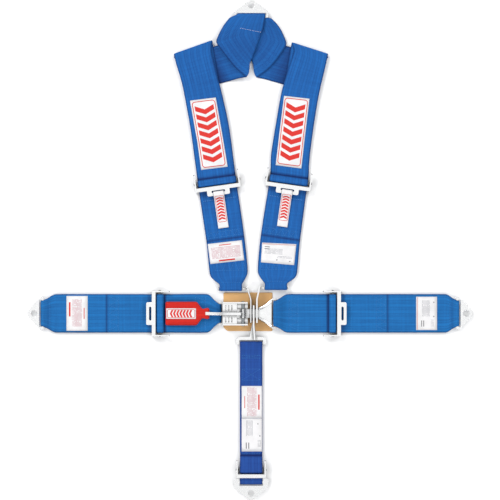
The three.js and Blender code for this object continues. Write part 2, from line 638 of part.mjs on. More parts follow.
const armProfile = outline([
  [-9.6, 20], [-18, 27.2], [-56.5, 27.2], [-92, 13.6], [-92, 10.4], [-58, 24], [-22, 24], [-18.4, 19],
]);
const gripShape = outline([
  [-160, -17], [-160, 17], [-112, 17], [-99, 4.6], [-88, 4.6], [-88, -4.6], [-99, -4.6], [-112, -17],
]);
const leverParts = [
  rod(HINGE.x, HINGE.z, HINGE.r, -HINGE.half, HINGE.half),
  across(armProfile, -3, 3),
  flat(gripShape, 10.4, 13.6),
];
const leverBore = rod(HINGE.x, HINGE.z, HINGE.pin + GAP, -HINGE.half - 1, HINGE.half + 1);
addPiece("latch_lever", join(leverParts, [leverBore]).translate(0, LAP_Y, 0), "chrome");

const sleeveEdge = [
  [SLEEVE.from, SLEEVE.half], [SLEEVE.to, SLEEVE.half], [SLEEVE.neck, SLEEVE.neckHalf],
  [SLEEVE_MOUTH.flare, SLEEVE_MOUTH.flareHalf], [SLEEVE_MOUTH.end, SLEEVE_MOUTH.endHalf],
];
const sleeveShape = roundedOutline([...sleeveEdge.map(([x, y]) => [x, -y]), ...sleeveEdge.reverse()], 4);
const pocketShape = outline([
  [-160.4, -17.4], [-111.6, -17.4], [-98.6, -5], [-70, -5],
  [-70, 5], [-98.6, 5], [-111.6, 17.4], [-160.4, 17.4],
]);
const pocketRise = outline([[-92.4, 10], [-70, 10], [-70, 30], [-79, 20.4], [-92.4, 14.6]]);
const pockets = [flat(pocketShape, 10, 14), across(pocketRise, -3.6, 3.6)];
const sleeve = join([flat(sleeveShape, ...SLEEVE.z, 4)], pockets);
addPiece("lever_sleeve", sleeve.translate(0, LAP_Y, 0), "red");
const sleeveTop = SLEEVE.z[1] + GAP;
const labelBox = box(-165.4, -107, LAP_Y - 10.4, LAP_Y + 10.4, sleeveTop, sleeveTop + PATCH_THICK);
addPiece("sleeve_label", labelBox, "patch");

// ---- Buckle pad ----
const padCorners = [[-52.9, -154], [-45, -161.2], [44.3, -161.2], [44.3, -84.8], [-52.9, -84.8]];
const padShape = roundedOutline(padCorners, 3);
addPiece("buckle_pad", flat(padShape, 0, 1.2, 4), "leather");

export default harness;
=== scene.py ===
"""Racing harness lying flat on a pale floor, seen from straight above.

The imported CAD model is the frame. Sizes here are in millimetres and are turned to metres when a mesh
is made. Straps are modelled as ribbons through pairs of selvage points, hardware keeps its CAD shape.
"""

import json
import math

import bmesh
import bpy
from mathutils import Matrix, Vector
from mathutils.bvhtree import BVHTree


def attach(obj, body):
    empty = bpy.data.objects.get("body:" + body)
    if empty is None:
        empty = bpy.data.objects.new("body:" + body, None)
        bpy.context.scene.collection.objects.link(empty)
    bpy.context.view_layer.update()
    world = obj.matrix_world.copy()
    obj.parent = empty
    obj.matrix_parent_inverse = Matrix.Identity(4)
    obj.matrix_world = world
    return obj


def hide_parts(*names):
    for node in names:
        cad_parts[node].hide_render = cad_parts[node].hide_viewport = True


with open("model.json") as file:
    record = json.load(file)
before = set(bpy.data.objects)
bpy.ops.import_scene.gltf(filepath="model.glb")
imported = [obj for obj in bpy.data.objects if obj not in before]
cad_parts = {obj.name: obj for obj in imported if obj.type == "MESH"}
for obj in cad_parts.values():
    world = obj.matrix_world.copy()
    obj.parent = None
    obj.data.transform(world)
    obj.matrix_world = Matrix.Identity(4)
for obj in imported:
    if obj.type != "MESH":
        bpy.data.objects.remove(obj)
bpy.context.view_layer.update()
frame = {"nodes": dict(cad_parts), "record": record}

MM = 0.001

# ---- Driving sizes, the same as the CAD model's, in millimetres ----
WEB_HALF = 38.1
WEB_THICK = 1.6
CROTCH_HALF = 22.2
PATCH_THICK = 0.6
RIBBON_HALF = 10.3
RIBBON_THICK = 0.8

SIDES = ("left", "right")
LAP_Y = -126.0
LAP_SPECS = {
    "left": dict(x=-190.5, turn=180, seam=92.5, bevel=193.5, edge=224.5, label=(131.2, 173.2, 34.5)),
    "right": dict(x=175.6, turn=0, seam=95.9, bevel=211.0, edge=238.4, label=(153.0, 194.4, 33.0)),
}
LAP_END_HALF = 25.5  # half the width of the lap webbing where it goes round its anchor plate
SHOULDER_SEAM = 100.0
PIN_Z = 5.5
PIN_LOOP_R = 3.6
LOCK_U, LOCK_Z, LOCK_END, LOCK_LOOP_R = -12.0, 8.5, 2.7, 3.4
LOOP_R = 3.7
LOOP_OUTER_R = 5.6
ANCHOR_Z = 4.9
LATCH_BAR_X, LATCH_BAR_Z, LATCH_WEB_HALF = -61.3, 5.6, 18.5
TONGUE_BAR_X, TONGUE_BAR_Z, TONGUE_WEB_HALF = 49.8, 12.5, 25.3
LINK_BAR_Z, LINK_WEB_HALF = 6.5, 22.5
TOP_Y, TOP_Z, TOP_HALF = 461.3, 6.8, 28.2
CROTCH_Y = -447.1
CROTCH_LINK_Y = -185.9
CROTCH_DIP = 18.9  # how much sooner than on the wide straps the crotch strap drops beside its lock bar


# ---- Strap frames and stations ----
class StrapFrame:
    """u runs along the strap from (x, y) in direction turn, v runs across it."""

    def __init__(self, x, y, turn):
        self.origin = Vector((x, y, 0))
        angle = math.radians(turn)
        self.along = Vector((math.cos(angle), math.sin(angle), 0))
        self.over = Vector((-math.sin(angle), math.cos(angle), 0))

    def point(self, u, v, z):
        return self.origin + self.along * u + self.over * v + Vector((0, 0, z))

    def pair(self, u, z, half):
        return self.point(u, half, z), self.point(u, -half, z)


LAP = {side: StrapFrame(spec["x"], LAP_Y, spec["turn"]) for side, spec in LAP_SPECS.items()}
LAP_BAR_U = {side: spec["edge"] - LOOP_R - WEB_THICK / 2 for side, spec in LAP_SPECS.items()}
SHOULDER = {"left": StrapFrame(-63.8, 122.4, -82), "right": StrapFrame(74.5, 125, -98)}
LINK_END = {"left": StrapFrame(-38.6, -77.3, -90), "right": StrapFrame(51.2, -75.4, -90)}
CROTCH = StrapFrame(2, CROTCH_Y, -90)
TOP = StrapFrame(2.3, TOP_Y, 90)


def flat_pair(a, b, z):
    return Vector((*a, z)), Vector((*b, z))


BAR_STEPS = 8
ROLL_STEPS = 6


def round_bar(strap, u, z, radius, start, end, half):
    """Stations round a bar, from one angle to another in degrees."""
    made = []
    for i in range(BAR_STEPS + 1):
        angle = math.radians(start + (end - start) * i / BAR_STEPS)
        made.append(strap.pair(u + radius * math.cos(angle), z + radius * math.sin(angle), half))
    return made


def sewn_end(strap, bar, z, narrow, full, way, bevel, back, level=4.4):
    """A strap end that goes over its bar, round it, and is sewn back under itself."""
    turns = (90, -90) if way > 0 else (90, 270)
    low = level - 2.5
    neck = 9
    taper = narrow + (full - narrow) * neck / bevel
    return [
        strap.pair(bar - way * bevel, level, full),
        strap.pair(bar - way * neck, max((level + z + LOOP_R) / 2, z), taper),
        *round_bar(strap, bar, z, LOOP_R, *turns, narrow),
        strap.pair(bar - way * neck, (low + z - LOOP_R) / 2, taper),
        strap.pair(bar - way * bevel, low, full - 1),
        strap.pair(bar - way * back, low, full - 1),
    ]


def sewn_round_pin(strap, half, seam):
    """Webbing sewn round an adjuster's fixed bar, from its sewn end to the upper layer."""
    return [
        strap.pair(seam, 1.9, half - 1),
        strap.pair(14, 1.9, half - 1),
        *round_bar(strap, 0, PIN_Z, PIN_LOOP_R, -90, -270, half),
        strap.pair(5, 8.4, half),
        strap.pair(12, 5.2, half),
        strap.pair(17, 4.4, half),
    ]


def round_lock_bar(strap, half, tail, dip=0):
    """Webbing threaded over an adjuster's lock bar, from its loose tail to the standing part."""
    return [
        strap.pair(-tail, 2.4, half - 1),
        strap.pair(-24, 2.4, half - 1),
        strap.pair(-18, 3.2, half - 1),
        strap.pair(-13.5, 4.8, half),
        *round_bar(strap, LOCK_U + LOCK_END, LOCK_Z, LOCK_LOOP_R, -90, 90, half),
        strap.pair(-15.4 - dip, 11.8, half),
        strap.pair(-17.8 - dip, 10.4, half),
        strap.pair(-19.2 - dip, 7.6, half),
        strap.pair(-20.4 - dip, 4.9, half),
        strap.pair(-22.6 - dip, 4.7, half),
        strap.pair(-27 - dip, 5, half),
    ]


def roll(a, b, z, radius, out, start, end):
    """A strap turning over along the line a-b, bulging towards out."""
    made = []
    for i in range(ROLL_STEPS + 1):
        angle = math.radians(start + (end - start) * i / ROLL_STEPS)
        shift = radius * math.cos(angle)
        moved = [(p[0] + out[0] * shift, p[1] + out[1] * shift) for p in (a, b)]
        made.append(flat_pair(*moved, z + radius * math.sin(angle)))
    return made


def between(p, q, t):
    return p[0] + (q[0] - p[0]) * t, p[1] + (q[1] - p[1]) * t


def cross_band(from_a, from_b, to_a, to_b, heights):
    """The band behind a shoulder strap, from its diagonal fold to the fold over the middle."""
    return [flat_pair(between(from_a, to_a, t), between(from_b, to_b, t), z) for t, z in heights]


# ---- Meshes ----
def link(obj, body):
    """Puts a piece in the scene, on its body."""
    bpy.context.scene.collection.objects.link(obj)
    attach(obj, body)


def make_mesh(name, points, faces, material, uvs=None):
    """Points in millimetres; uvs is one (across, along) pair in metres for each point."""
    mesh = bpy.data.meshes.new(name)
    mesh.from_pydata([tuple(p * MM) for p in points], [], faces)
    if uvs:
        layer = mesh.uv_layers.new(name="weave")
        for loop in mesh.loops:
            layer.data[loop.index].uv = uvs[loop.vertex_index]
    mesh.polygons.foreach_set("use_smooth", [True] * len(mesh.polygons))
    mesh.materials.append(material)
    mesh.update()
    return bpy.data.objects.new(name, mesh)


def slopes_of(points):
    """The slope at each point of a smooth curve that never overshoots a short stretch."""
    count = len(points)
    gaps = [(points[i + 1] - points[i]).length for i in range(count - 1)]
    slopes = []
    for i in range(count):
        before = points[max(i - 1, 0)]
        after = points[min(i + 1, count - 1)]
        slopes.append((after - before).normalized() * min(gaps[max(i - 1, 0)], gaps[min(i, count - 2)]))
    return slopes


def resample(pairs, step):
    """Both selvages as smooth curves, with the same number of points on each."""
    middles = [(a + b) / 2 for a, b in pairs]
    sides = [[a for a, _ in pairs], [b for _, b in pairs]]
    slopes = [slopes_of(side) for side in sides]
    made = []
    for i in range(len(pairs) - 1):
        parts = max(1, round((middles[i + 1] - middles[i]).length / step))
        for k in range(parts):
            t = k / parts
            h = (2 * t**3 - 3 * t**2 + 1, t**3 - 2 * t**2 + t, -2 * t**3 + 3 * t**2, t**3 - t**2)
            made.append(
                tuple(
                    side[i] * h[0] + slope[i] * h[1] + side[i + 1] * h[2] + slope[i + 1] * h[3]
                    for side, slope in zip(sides, slopes)
                )
            )
    return made + [pairs[-1]]


def tube_faces(first, rows, ring):
    """The faces of a tube over rows rings of points, numbered from first, with a cap on each end."""
    faces = []
    for low in range(first, first + (rows - 1) * ring, ring):
        for k in range(ring):
            nxt = (k + 1) % ring
            faces.append((low + k, low + nxt, low + ring + nxt, low + ring + k))
    last = first + (rows - 1) * ring
    faces.append(tuple(range(first + ring - 1, first - 1, -1)))
    faces.append(tuple(range(last, last + ring)))
    return faces


SECTION = 13  # points across one face of a ribbon
CROWDING = 0.35  # how far those points crowd towards the selvages
SELVAGE_SHARE = 0.3  # a selvage's thickness as a share of the middle's


def ribbon(name, pairs, material, thick, step, round_edge, painted_shades=(), full=None):
    """A woven strap through pairs of selvage points, with rounded selvages and closed ends.

    Each of the painted shades gives how far a point is darkened by painted shade round a fold. full is the
    width that the weave is laid out for, where the strap narrows.
    """
    rows = resample(pairs, step)
    points, uvs = [], []
    travelled = 0.0
    for i, (a, b) in enumerate(rows):
        before, after = rows[max(i - 1, 0)], rows[min(i + 1, len(rows) - 1)]
        along = after[0] + after[1] - before[0] - before[1]
        normal = (a - b).cross(along).normalized()
        width = (a - b).length
        if i:
            travelled += ((a + b) - (rows[i - 1][0] + rows[i - 1][1])).length / 2
        for side in (1, -1):
            for k in range(SECTION):
                t = k / (SECTION - 1) if side > 0 else 1 - k / (SECTION - 1)
                eased_t = 0.5 - 0.5 * math.cos(math.pi * t) if 0 < t < 1 else t
                t = CROWDING * eased_t + (1 - CROWDING) * t
                short = max(0.0, 1 - min(t, 1 - t) * width / round_edge)
                rise = math.sqrt(max(0.0, 1 - short**2))
                height = thick / 2 * (SELVAGE_SHARE + (1 - SELVAGE_SHARE) * rise)
                points.append(a.lerp(b, t) + normal * height * side)
                uvs.append(((t - 0.5) * (full or width) * MM, travelled * MM))
    made = make_mesh(name, points, tube_faces(0, len(rows), 2 * SECTION), material, uvs)
    # Painted shade at folds, kept on each point for the webbing's colour
    shades = [max([0.0] + [painted_shade(p) for painted_shade in painted_shades]) for p in points]
    made.data.attributes.new("painted_shade", "FLOAT", "POINT").data.foreach_set("value", shades)
    return fix_facing(made)


def fold(a, b, reach, strength, power=1.0, rise=1.0):
    """The painted shade round a fold from a to b; rise makes height count for more in the distance to it."""
    scale = Vector((1, 1, rise))
    start, line = a * scale, (b - a) * scale

    def shade(point):
        reached = point * scale - start
        along = min(1.0, max(0.0, reached.dot(line) / line.length_squared))
        return strength * max(0.0, 1 - (reached - line * along).length / reach) ** power

    return shade


def painted_cross_shade(strap, u, z, reach, strength):
    """The painted shade at a fold straight across a strap."""
    return fold(strap.point(u, WEB_HALF, z), strap.point(u, -WEB_HALF, z), reach, strength)


def fix_facing(obj):
    """Turns a closed mesh's faces outwards if its volume is negative."""
    mesh = obj.data
    mesh.calc_loop_triangles()
    volume = 0.0
    for tri in mesh.loop_triangles:
        a, b, c = (mesh.vertices[v].co for v in tri.vertices)
        volume += a.dot(b.cross(c))
    if volume < 0:
        mesh.flip_normals()
    return obj


# ---- Materials ----
class Nodes:
    """Short helpers to write a node tree."""

    def __init__(self, name, color, roughness, metallic=0.0):
        self.material = bpy.data.materials.new(name)
        self.material.use_nodes = True
        self.tree = self.material.node_tree
        self.shader = self.tree.nodes["Principled BSDF"]
        self.surface(Base_Color=(*color, 1), Roughness=roughness, Metallic=metallic)

    def surface(self, **values):
        """Sets or links the shader's own sockets, named with _ for each space."""
        for key, value in values.items():
            self.plug(self.shader.inputs[key.replace("_", " ")], value)

    def node(self, kind, **values):
        made = self.tree.nodes.new(kind)
        for key, value in values.items():
            setattr(made, key, value)
        return made

    def plug(self, socket, value):
        if isinstance(value, bpy.types.NodeSocket):
            self.tree.links.new(value, socket)
        else:
            socket.default_value = value

    def math(self, operation, *values):
        made = self.node("ShaderNodeMath", operation=operation)
        for socket, value in zip(made.inputs, values):
            self.plug(socket, value)
        return made.outputs[0]

    def mix(self, factor, a, b):
        made = self.node("ShaderNodeMix", data_type="RGBA")
        for socket, value in ((made.inputs[0], factor), (made.inputs[6], a), (made.inputs[7], b)):
            self.plug(socket, (*value, 1) if isinstance(value, tuple) and len(value) == 3 else value)
        return made.outputs[2]

    def noise(self, vector, scale, detail, roughness=0.5):
        made = self.node("ShaderNodeTexNoise")
        self.plug(made.inputs["Vector"], vector)
        made.inputs["Scale"].default_value = scale
        made.inputs["Detail"].default_value = detail
        made.inputs["Roughness"].default_value = roughness
        return made.outputs["Fac"]

    def place(self):
        return self.node("ShaderNodeNewGeometry").outputs["Position"]

    def stretched(self, vector, scale):
        made = self.node("ShaderNodeVectorMath", operation="MULTIPLY")
        self.plug(made.inputs[0], vector)
        made.inputs[1].default_value = scale
        return made.outputs[0]

    def weave_uv(self):
        """The woven coordinates in metres: both together, across the strap and along it."""
        uv = self.node("ShaderNodeUVMap", uv_map="weave").outputs["UV"]
        split = self.node("ShaderNodeSeparateXYZ")
        self.plug(split.inputs[0], uv)
        return uv, split.outputs[0], split.outputs[1]

    def bump(self, height, distance):
        made = self.node("ShaderNodeBump")
        made.inputs["Strength"].default_value = 1.0
        made.inputs["Distance"].default_value = distance
        self.plug(made.inputs["Height"], height)
        self.surface(Normal=made.outputs["Normal"])


FOLD_SHADOW = (0.0006, 0.008, 0.085)
TWILL_PITCH = 0.0024  # metres, like every length in a material
YARN_PITCH = 0.0009
SELVAGE_WIDTH = 0.0035


def webbing_material(name, dark, light, half, columns):
    """Herringbone polyester webbing: diagonal lines that turn at each column, grooves between columns."""
    n = Nodes(name, light, 0.7)
    uv, across, along = n.weave_uv()
    column = 2 * half * MM / columns
    place = n.math("DIVIDE", across, column)
    zigzag = n.math("PINGPONG", place, 1.0)
    slant = n.math("MULTIPLY", zigzag, column / TWILL_PITCH * 0.8)
    phase = n.math("ADD", n.math("DIVIDE", along, TWILL_PITCH), slant)
    twill = n.math("SINE", n.math("MULTIPLY", phase, 2 * math.pi))
    twill = n.math("MULTIPLY_ADD", twill, 0.5, 0.5)
    groove = n.math("POWER", n.math("ABSOLUTE", n.math("SINE", n.math("MULTIPLY", place, math.pi))), 0.35)
    painted_column_sheen = n.math("PINGPONG", n.math("FLOOR", place), 1.0)
    yarn = n.math("SINE", n.math("MULTIPLY", across, 2 * math.pi / YARN_PITCH))
    edge = n.math("SUBTRACT", half * MM, n.math("ABSOLUTE", across))
    rim = n.math("SMOOTH_MIN", n.math("DIVIDE", edge, SELVAGE_WIDTH), 1.0, 0.2)
    streaks = n.noise(n.stretched(uv, (700.0, 14.0, 1.0)), 1.0, 2.0)
    bars = n.noise(n.stretched(uv, (9.0, 260.0, 1.0)), 1.0, 1.0)
    patches = n.noise(n.place(), 14.0, 3.0)
    shade = n.math("MULTIPLY_ADD", twill, 0.30, 0.42)
    # Alternate columns lighter: painted sheen, where each column's twill catches the light its own way
    shade = n.math("MULTIPLY_ADD", painted_column_sheen, 0.09, shade)
    for value, amount in ((streaks, 0.55), (bars, 0.30), (patches, 0.40)):
        shade = n.math("ADD", shade, n.math("MULTIPLY", n.math("SUBTRACT", value, 0.5), amount))
    # Darker in the grooves between columns: painted shade; the same groove also shapes the bump
    shade = n.math("MULTIPLY", shade, n.math("MULTIPLY_ADD", groove, 0.35, 0.65))
    shade = n.math("MULTIPLY", shade, n.math("MULTIPLY_ADD", rim, 0.6, 0.4))
    # Painted shade at folds: the colour is darkened towards FOLD_SHADOW by the point attribute
    painted_shade = n.node("ShaderNodeAttribute", attribute_name="painted_shade").outputs["Fac"]
    cloth = n.mix(shade, dark, light)
    n.surface(Base_Color=n.mix(painted_shade, cloth, FOLD_SHADOW))
    n.surface(Roughness=n.math("MULTIPLY_ADD", twill, -0.12, 0.74))
    height = n.math("MULTIPLY_ADD", yarn, 0.15, n.math("MULTIPLY", twill, 0.5))
    height = n.math("ADD", height, n.math("MULTIPLY", groove, 0.6))
    n.bump(height, 0.00028)
    n.surface(Sheen_Weight=0.06, Sheen_Roughness=0.4, Specular_IOR_Level=0.22)
    return n.material


def thread_material(name, color):
    """Sewing thread with fine fibres."""
    n = Nodes(name, color, 0.6)
    fibres = n.noise(n.stretched(n.place(), (3000.0, 3000.0, 3000.0)), 1.0, 2.0)
    n.surface(Base_Color=n.mix(fibres, tuple(c * 0.6 for c in color), color))
    n.bump(fibres, 0.00008)
    return n.material


def plated_metal(name, color, roughness, brushed, crevice=0.007):
    """Plated steel: faint polishing lines, soft waviness, dulling in patches.

    Places narrower than crevice get painted shade, or none where it is None.
    """
    n = Nodes(name, color, roughness, 1.0)
    place = n.place()
    lines = n.noise(n.stretched(place, brushed), 1.0, 3.0, 0.6)
    waves = n.noise(place, 45.0, 2.0)
    dull = n.noise(place, 130.0, 4.0, 0.6)
    worn = n.math("MULTIPLY_ADD", dull, 0.1, roughness - 0.08)
    n.surface(Roughness=n.math("MULTIPLY_ADD", lines, 0.12, worn))
    dull_plating_and_shade = n.mix(dull, tuple(c * 0.86 for c in color), color)
    # Painted shade in crevices: the colour darkens where ambient occlusion finds surfaces close by
    if crevice:
        corner = n.node("ShaderNodeAmbientOcclusion", samples=8)
        corner.inputs["Distance"].default_value = crevice
        open_to_sky = n.math("POWER", corner.outputs["AO"], 2.0)
        dull_plating_and_shade = n.mix(open_to_sky, tuple(c * 0.05 for c in color), dull_plating_and_shade)
    n.surface(Base_Color=dull_plating_and_shade)
    height = n.math("MULTIPLY_ADD", lines, 0.25, waves)
    n.bump(height, 0.00006)
    return n.material


def leather_material():
    """Smooth tan leather with a fine cell grain."""
    n = Nodes("tan_leather", (0.72, 0.36, 0.10), 0.5)
    place = n.place()
    cells = n.node("ShaderNodeTexVoronoi", feature="DISTANCE_TO_EDGE")
    n.plug(cells.inputs["Vector"], place)
    cells.inputs["Scale"].default_value = 900.0
    grain = n.math("SMOOTH_MIN", n.math("MULTIPLY", cells.outputs["Distance"], 2.5), 1.0, 0.3)
    tone = n.noise(place, 40.0, 4.0)
    n.surface(Base_Color=n.mix(tone, (0.62, 0.33, 0.11), (0.80, 0.48, 0.20)))
    n.surface(Roughness=n.math("MULTIPLY_ADD", grain, -0.12, 0.6))
    n.bump(grain, 0.00012)
    return n.material


BLUE_DARK, BLUE_LIGHT = (0.002, 0.035, 0.15), (0.010, 0.20, 0.56)
SHOULDER_DARK, SHOULDER_LIGHT = (0.002, 0.022, 0.13), (0.010, 0.158, 0.52)
NARROW_DARK, NARROW_LIGHT = (0.003, 0.014, 0.11), (0.018, 0.098, 0.42)
RED_DARK, RED_LIGHT = (0.34, 0.004, 0.004), (0.72, 0.024, 0.014)
WHITE_DARK, WHITE_LIGHT = (0.60, 0.59, 0.595), (0.85, 0.84, 0.845)

WEBBING = webbing_material("blue_webbing", BLUE_DARK, BLUE_LIGHT, WEB_HALF, 12)
SHOULDER_WEBBING = webbing_material("blue_webbing_shoulder", SHOULDER_DARK, SHOULDER_LIGHT, WEB_HALF, 12)
CROTCH_WEBBING = webbing_material("blue_webbing_narrow", NARROW_DARK, NARROW_LIGHT, CROTCH_HALF, 7)
RED_WEBBING = webbing_material("red_webbing", RED_DARK, RED_LIGHT, 23.4, 8)
BLUE_THREAD = thread_material("blue_thread", (0.03, 0.22, 0.58))
PALE_THREAD = thread_material("pale_blue_thread", (0.16, 0.38, 0.74))
WHITE_THREAD = thread_material("white_thread", (0.85, 0.85, 0.84))
TAN_THREAD = thread_material("tan_thread", (0.75, 0.55, 0.3))
CHROME = plated_metal("bright_plating", (0.93, 0.935, 0.93), 0.20, (40.0, 900.0, 40.0))
PLATE = plated_metal("bright_plate", (0.95, 0.955, 0.95), 0.24, (40.0, 900.0, 40.0), None)
ZINC = plated_metal("satin_zinc", (0.40, 0.43, 0.44), 0.36, (900.0, 30.0, 900.0))
LEATHER = leather_material()


# ---- Hardware keeps its CAD shape, with its edges rounded ----
BODY_OF = {n: body for body, members in frame["record"]["behaviour"]["bodies"].items() for n in members}


def stands_for(obj, node):
    """obj takes the CAD node's place and rides on the node's body."""
    link(obj, BODY_OF[node])
    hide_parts(node)


FINE_EDGE = 0.45  # how far a pressed plate's edges are rounded


def machined(node, material, edge):
    """A copy of a CAD node with merged flats and rounded edges."""
    work = bmesh.new()
    work.from_mesh(frame["nodes"][node].data)
    bmesh.ops.remove_doubles(work, verts=work.verts, dist=2e-6)
    flat = math.radians(1.5)
    bmesh.ops.dissolve_limit(work, angle_limit=flat, verts=work.verts, edges=work.edges)
    mesh = bpy.data.meshes.new(node + "_machined")
    work.to_mesh(mesh)
    work.free()
    mesh.materials.append(material)
    mesh.polygons.foreach_set("use_smooth", [True] * len(mesh.polygons))
    obj = bpy.data.objects.new(node + "_machined", mesh)
    bevel = obj.modifiers.new("edges", "BEVEL")
    bevel.width = edge * MM
    bevel.segments = 3
    bevel.limit_method = "ANGLE"
    bevel.angle_limit = math.radians(35)
    normals = obj.modifiers.new("normals", "WEIGHTED_NORMAL")
    normals.weight = 100
    stands_for(obj, node)


CHROME_NODES = [n for n in BODY_OF if n.endswith(("_adjuster_frame", "_link", "_link_left", "_link_right"))]
CHROME_NODES += ["lap_anchor_left", "lap_anchor_right", "top_anchor", "crotch_anchor"]
CHROME_NODES += ["tongue_plate", "latch_body", "latch_lever"]
EDGES = {"latch_lever": 1.1, "shoulder_link_left": 0.8, "shoulder_link_right": 0.8, "tongue_plate": 0.7}
for node in CHROME_NODES:
    plate = PLATE if "anchor" in node else CHROME
    machined(node, plate, EDGES.get(node, FINE_EDGE))
for node in [n for n in BODY_OF if n.endswith("_lock_bar")] + ["lever_pin"]:
    machined(node, ZINC, 0.35)


def bead(name, lines, radius, material, squash):
    """Half-round beads along lines of points, as one mesh."""
    sides = 10
    points, faces = [], []
    for line in lines:
        first = len(points)
        for i, p in enumerate(line):
            along = (line[min(i + 1, len(line) - 1)] - line[max(i - 1, 0)]).normalized()
            over = Vector((-along.y, along.x, 0)).normalized()
            taper = 0.35 if i in (0, len(line) - 1) else 1.0
            for k in range(sides):
                angle = 2 * math.pi * k / sides
                lift = Vector((0, 0, radius * taper * squash * math.sin(angle)))
                points.append(p + over * radius * taper * math.cos(angle) + lift)
        faces += tube_faces(first, len(line), sides)
    return fix_facing(make_mesh(name, points, faces, material))


# The raised rim on each side of the tongue's fishtail, outwards from the buckle's middle line.
RIM_LINE = [
    (16.6, 8.4), (18.6, 10.0), (21.6, 11.2), (26.4, 13.6),
    (31.2, 16.6), (36.2, 20.4), (40.4, 24.4), (42.6, 26.6),
]
rims = []
for way in (1, -1):
    corners = [Vector((x, LAP_Y + way * y, 14.2)) for x, y in RIM_LINE]
    rims.append([p.lerp(q, t / 3) for p, q in zip(corners, corners[1:]) for t in range(3)] + corners[-1:])
link(bead("tongue_rims", rims, 2.5, CHROME, 0.5), "tongue")


# ---- Webbing ----
WEBBING_STEP = 2.2


WEBBING_PIECES = {}


def webbing(node, pairs, half=WEB_HALF, material=WEBBING, painted_shades=()):
    """The woven strap that stands for a CAD strap."""
    obj = ribbon(node + "_woven", pairs, material, WEB_THICK, WEBBING_STEP, 0.7, painted_shades, 2 * half)
    stands_for(obj, node)
    WEBBING_PIECES[node] = obj


def painted_wrap_shade(strap, dip=0):
    """Painted shade where the standing webbing dives beside the band over a lock bar."""
    return painted_cross_shade(strap, -20.4 - dip, 5.6, 6, 1.0)


def under_pair(start, end, t, z):
    """A pair between two others, drawn in at each selvage, for the layer sewn under a strap."""
    a, b = (p.lerp(q, t) for p, q in zip(start, end))
    a.z = b.z = z
    inset = (b - a).normalized()
    return a + inset, b - inset


for side, spec in LAP_SPECS.items():
    strap, bar = LAP[side], LAP_BAR_U[side]
    outer = sewn_round_pin(strap, WEB_HALF, spec["seam"])
    outer += sewn_end(strap, bar, ANCHOR_Z, LAP_END_HALF, WEB_HALF, 1, bar - spec["bevel"], 85)
    # Painted shade at the seam's step, beside the anchor bar and beside the adjuster
    painted_fold_shades = [painted_cross_shade(strap, spec["seam"] + 1, 5, 3.2, 0.75), painted_cross_shade(strap, bar - 10, 6.6, 8, 0.25)]
    painted_fold_shades += [painted_cross_shade(strap, 8, 6.5, 7, 0.5)]
    webbing(f"lap_webbing_{side}_outer", outer, painted_shades=painted_fold_shades)

LATCH_BAR_U = LAP_SPECS["left"]["x"] - LATCH_BAR_X
TONGUE_BAR_U = TONGUE_BAR_X - LAP_SPECS["right"]["x"]
latch_end = sewn_end(LAP["left"], LATCH_BAR_U, LATCH_BAR_Z, LATCH_WEB_HALF, WEB_HALF, -1, 24, 50, 5)
tongue_end = sewn_end(LAP["right"], TONGUE_BAR_U, TONGUE_BAR_Z, TONGUE_WEB_HALF, WEB_HALF, -1, 24, 48, 5.6)
for side, end in (("left", latch_end), ("right", tongue_end)):
    pairs = round_lock_bar(LAP[side], WEB_HALF, 72) + end
    webbing(f"lap_webbing_{side}_inner", pairs, painted_shades=[painted_wrap_shade(LAP[side])])

LOWER_MIDDLE = {
    "left": [flat_pair((-11.2, 24), (-86.6, 15.8), 4.4), flat_pair((-4.9, -44), (-79.3, -50), 4.6)],
    "right": [flat_pair((98.5, 15.8), (20.5, 24), 4.4), flat_pair((92, -50), (15.4, -44), 4.6)],
}
for side in SIDES:
    end = LINK_END[side]
    lower = [
        *sewn_round_pin(SHOULDER[side], WEB_HALF, SHOULDER_SEAM),
        *LOWER_MIDDLE[side],
        end.pair(-9, 8, LINK_WEB_HALF),
        *round_bar(end, 0, LINK_BAR_Z, LOOP_R, 90, -90, LINK_WEB_HALF),
        end.pair(-9, 2.6, LINK_WEB_HALF),
        under_pair(*LOWER_MIDDLE[side], 1, 2),
        under_pair(*LOWER_MIDDLE[side], 0.6, 2),
    ]
    strap = SHOULDER[side]
    # Painted shade at the seam and beside the adjuster
    painted_fold_shades = [painted_cross_shade(strap, SHOULDER_SEAM + 2, 5, 3.6, 0.8), painted_cross_shade(strap, 8, 6.5, 7, 0.5)]
    webbing(f"shoulder_webbing_{side}_lower", lower, WEB_HALF, SHOULDER_WEBBING, painted_fold_shades)

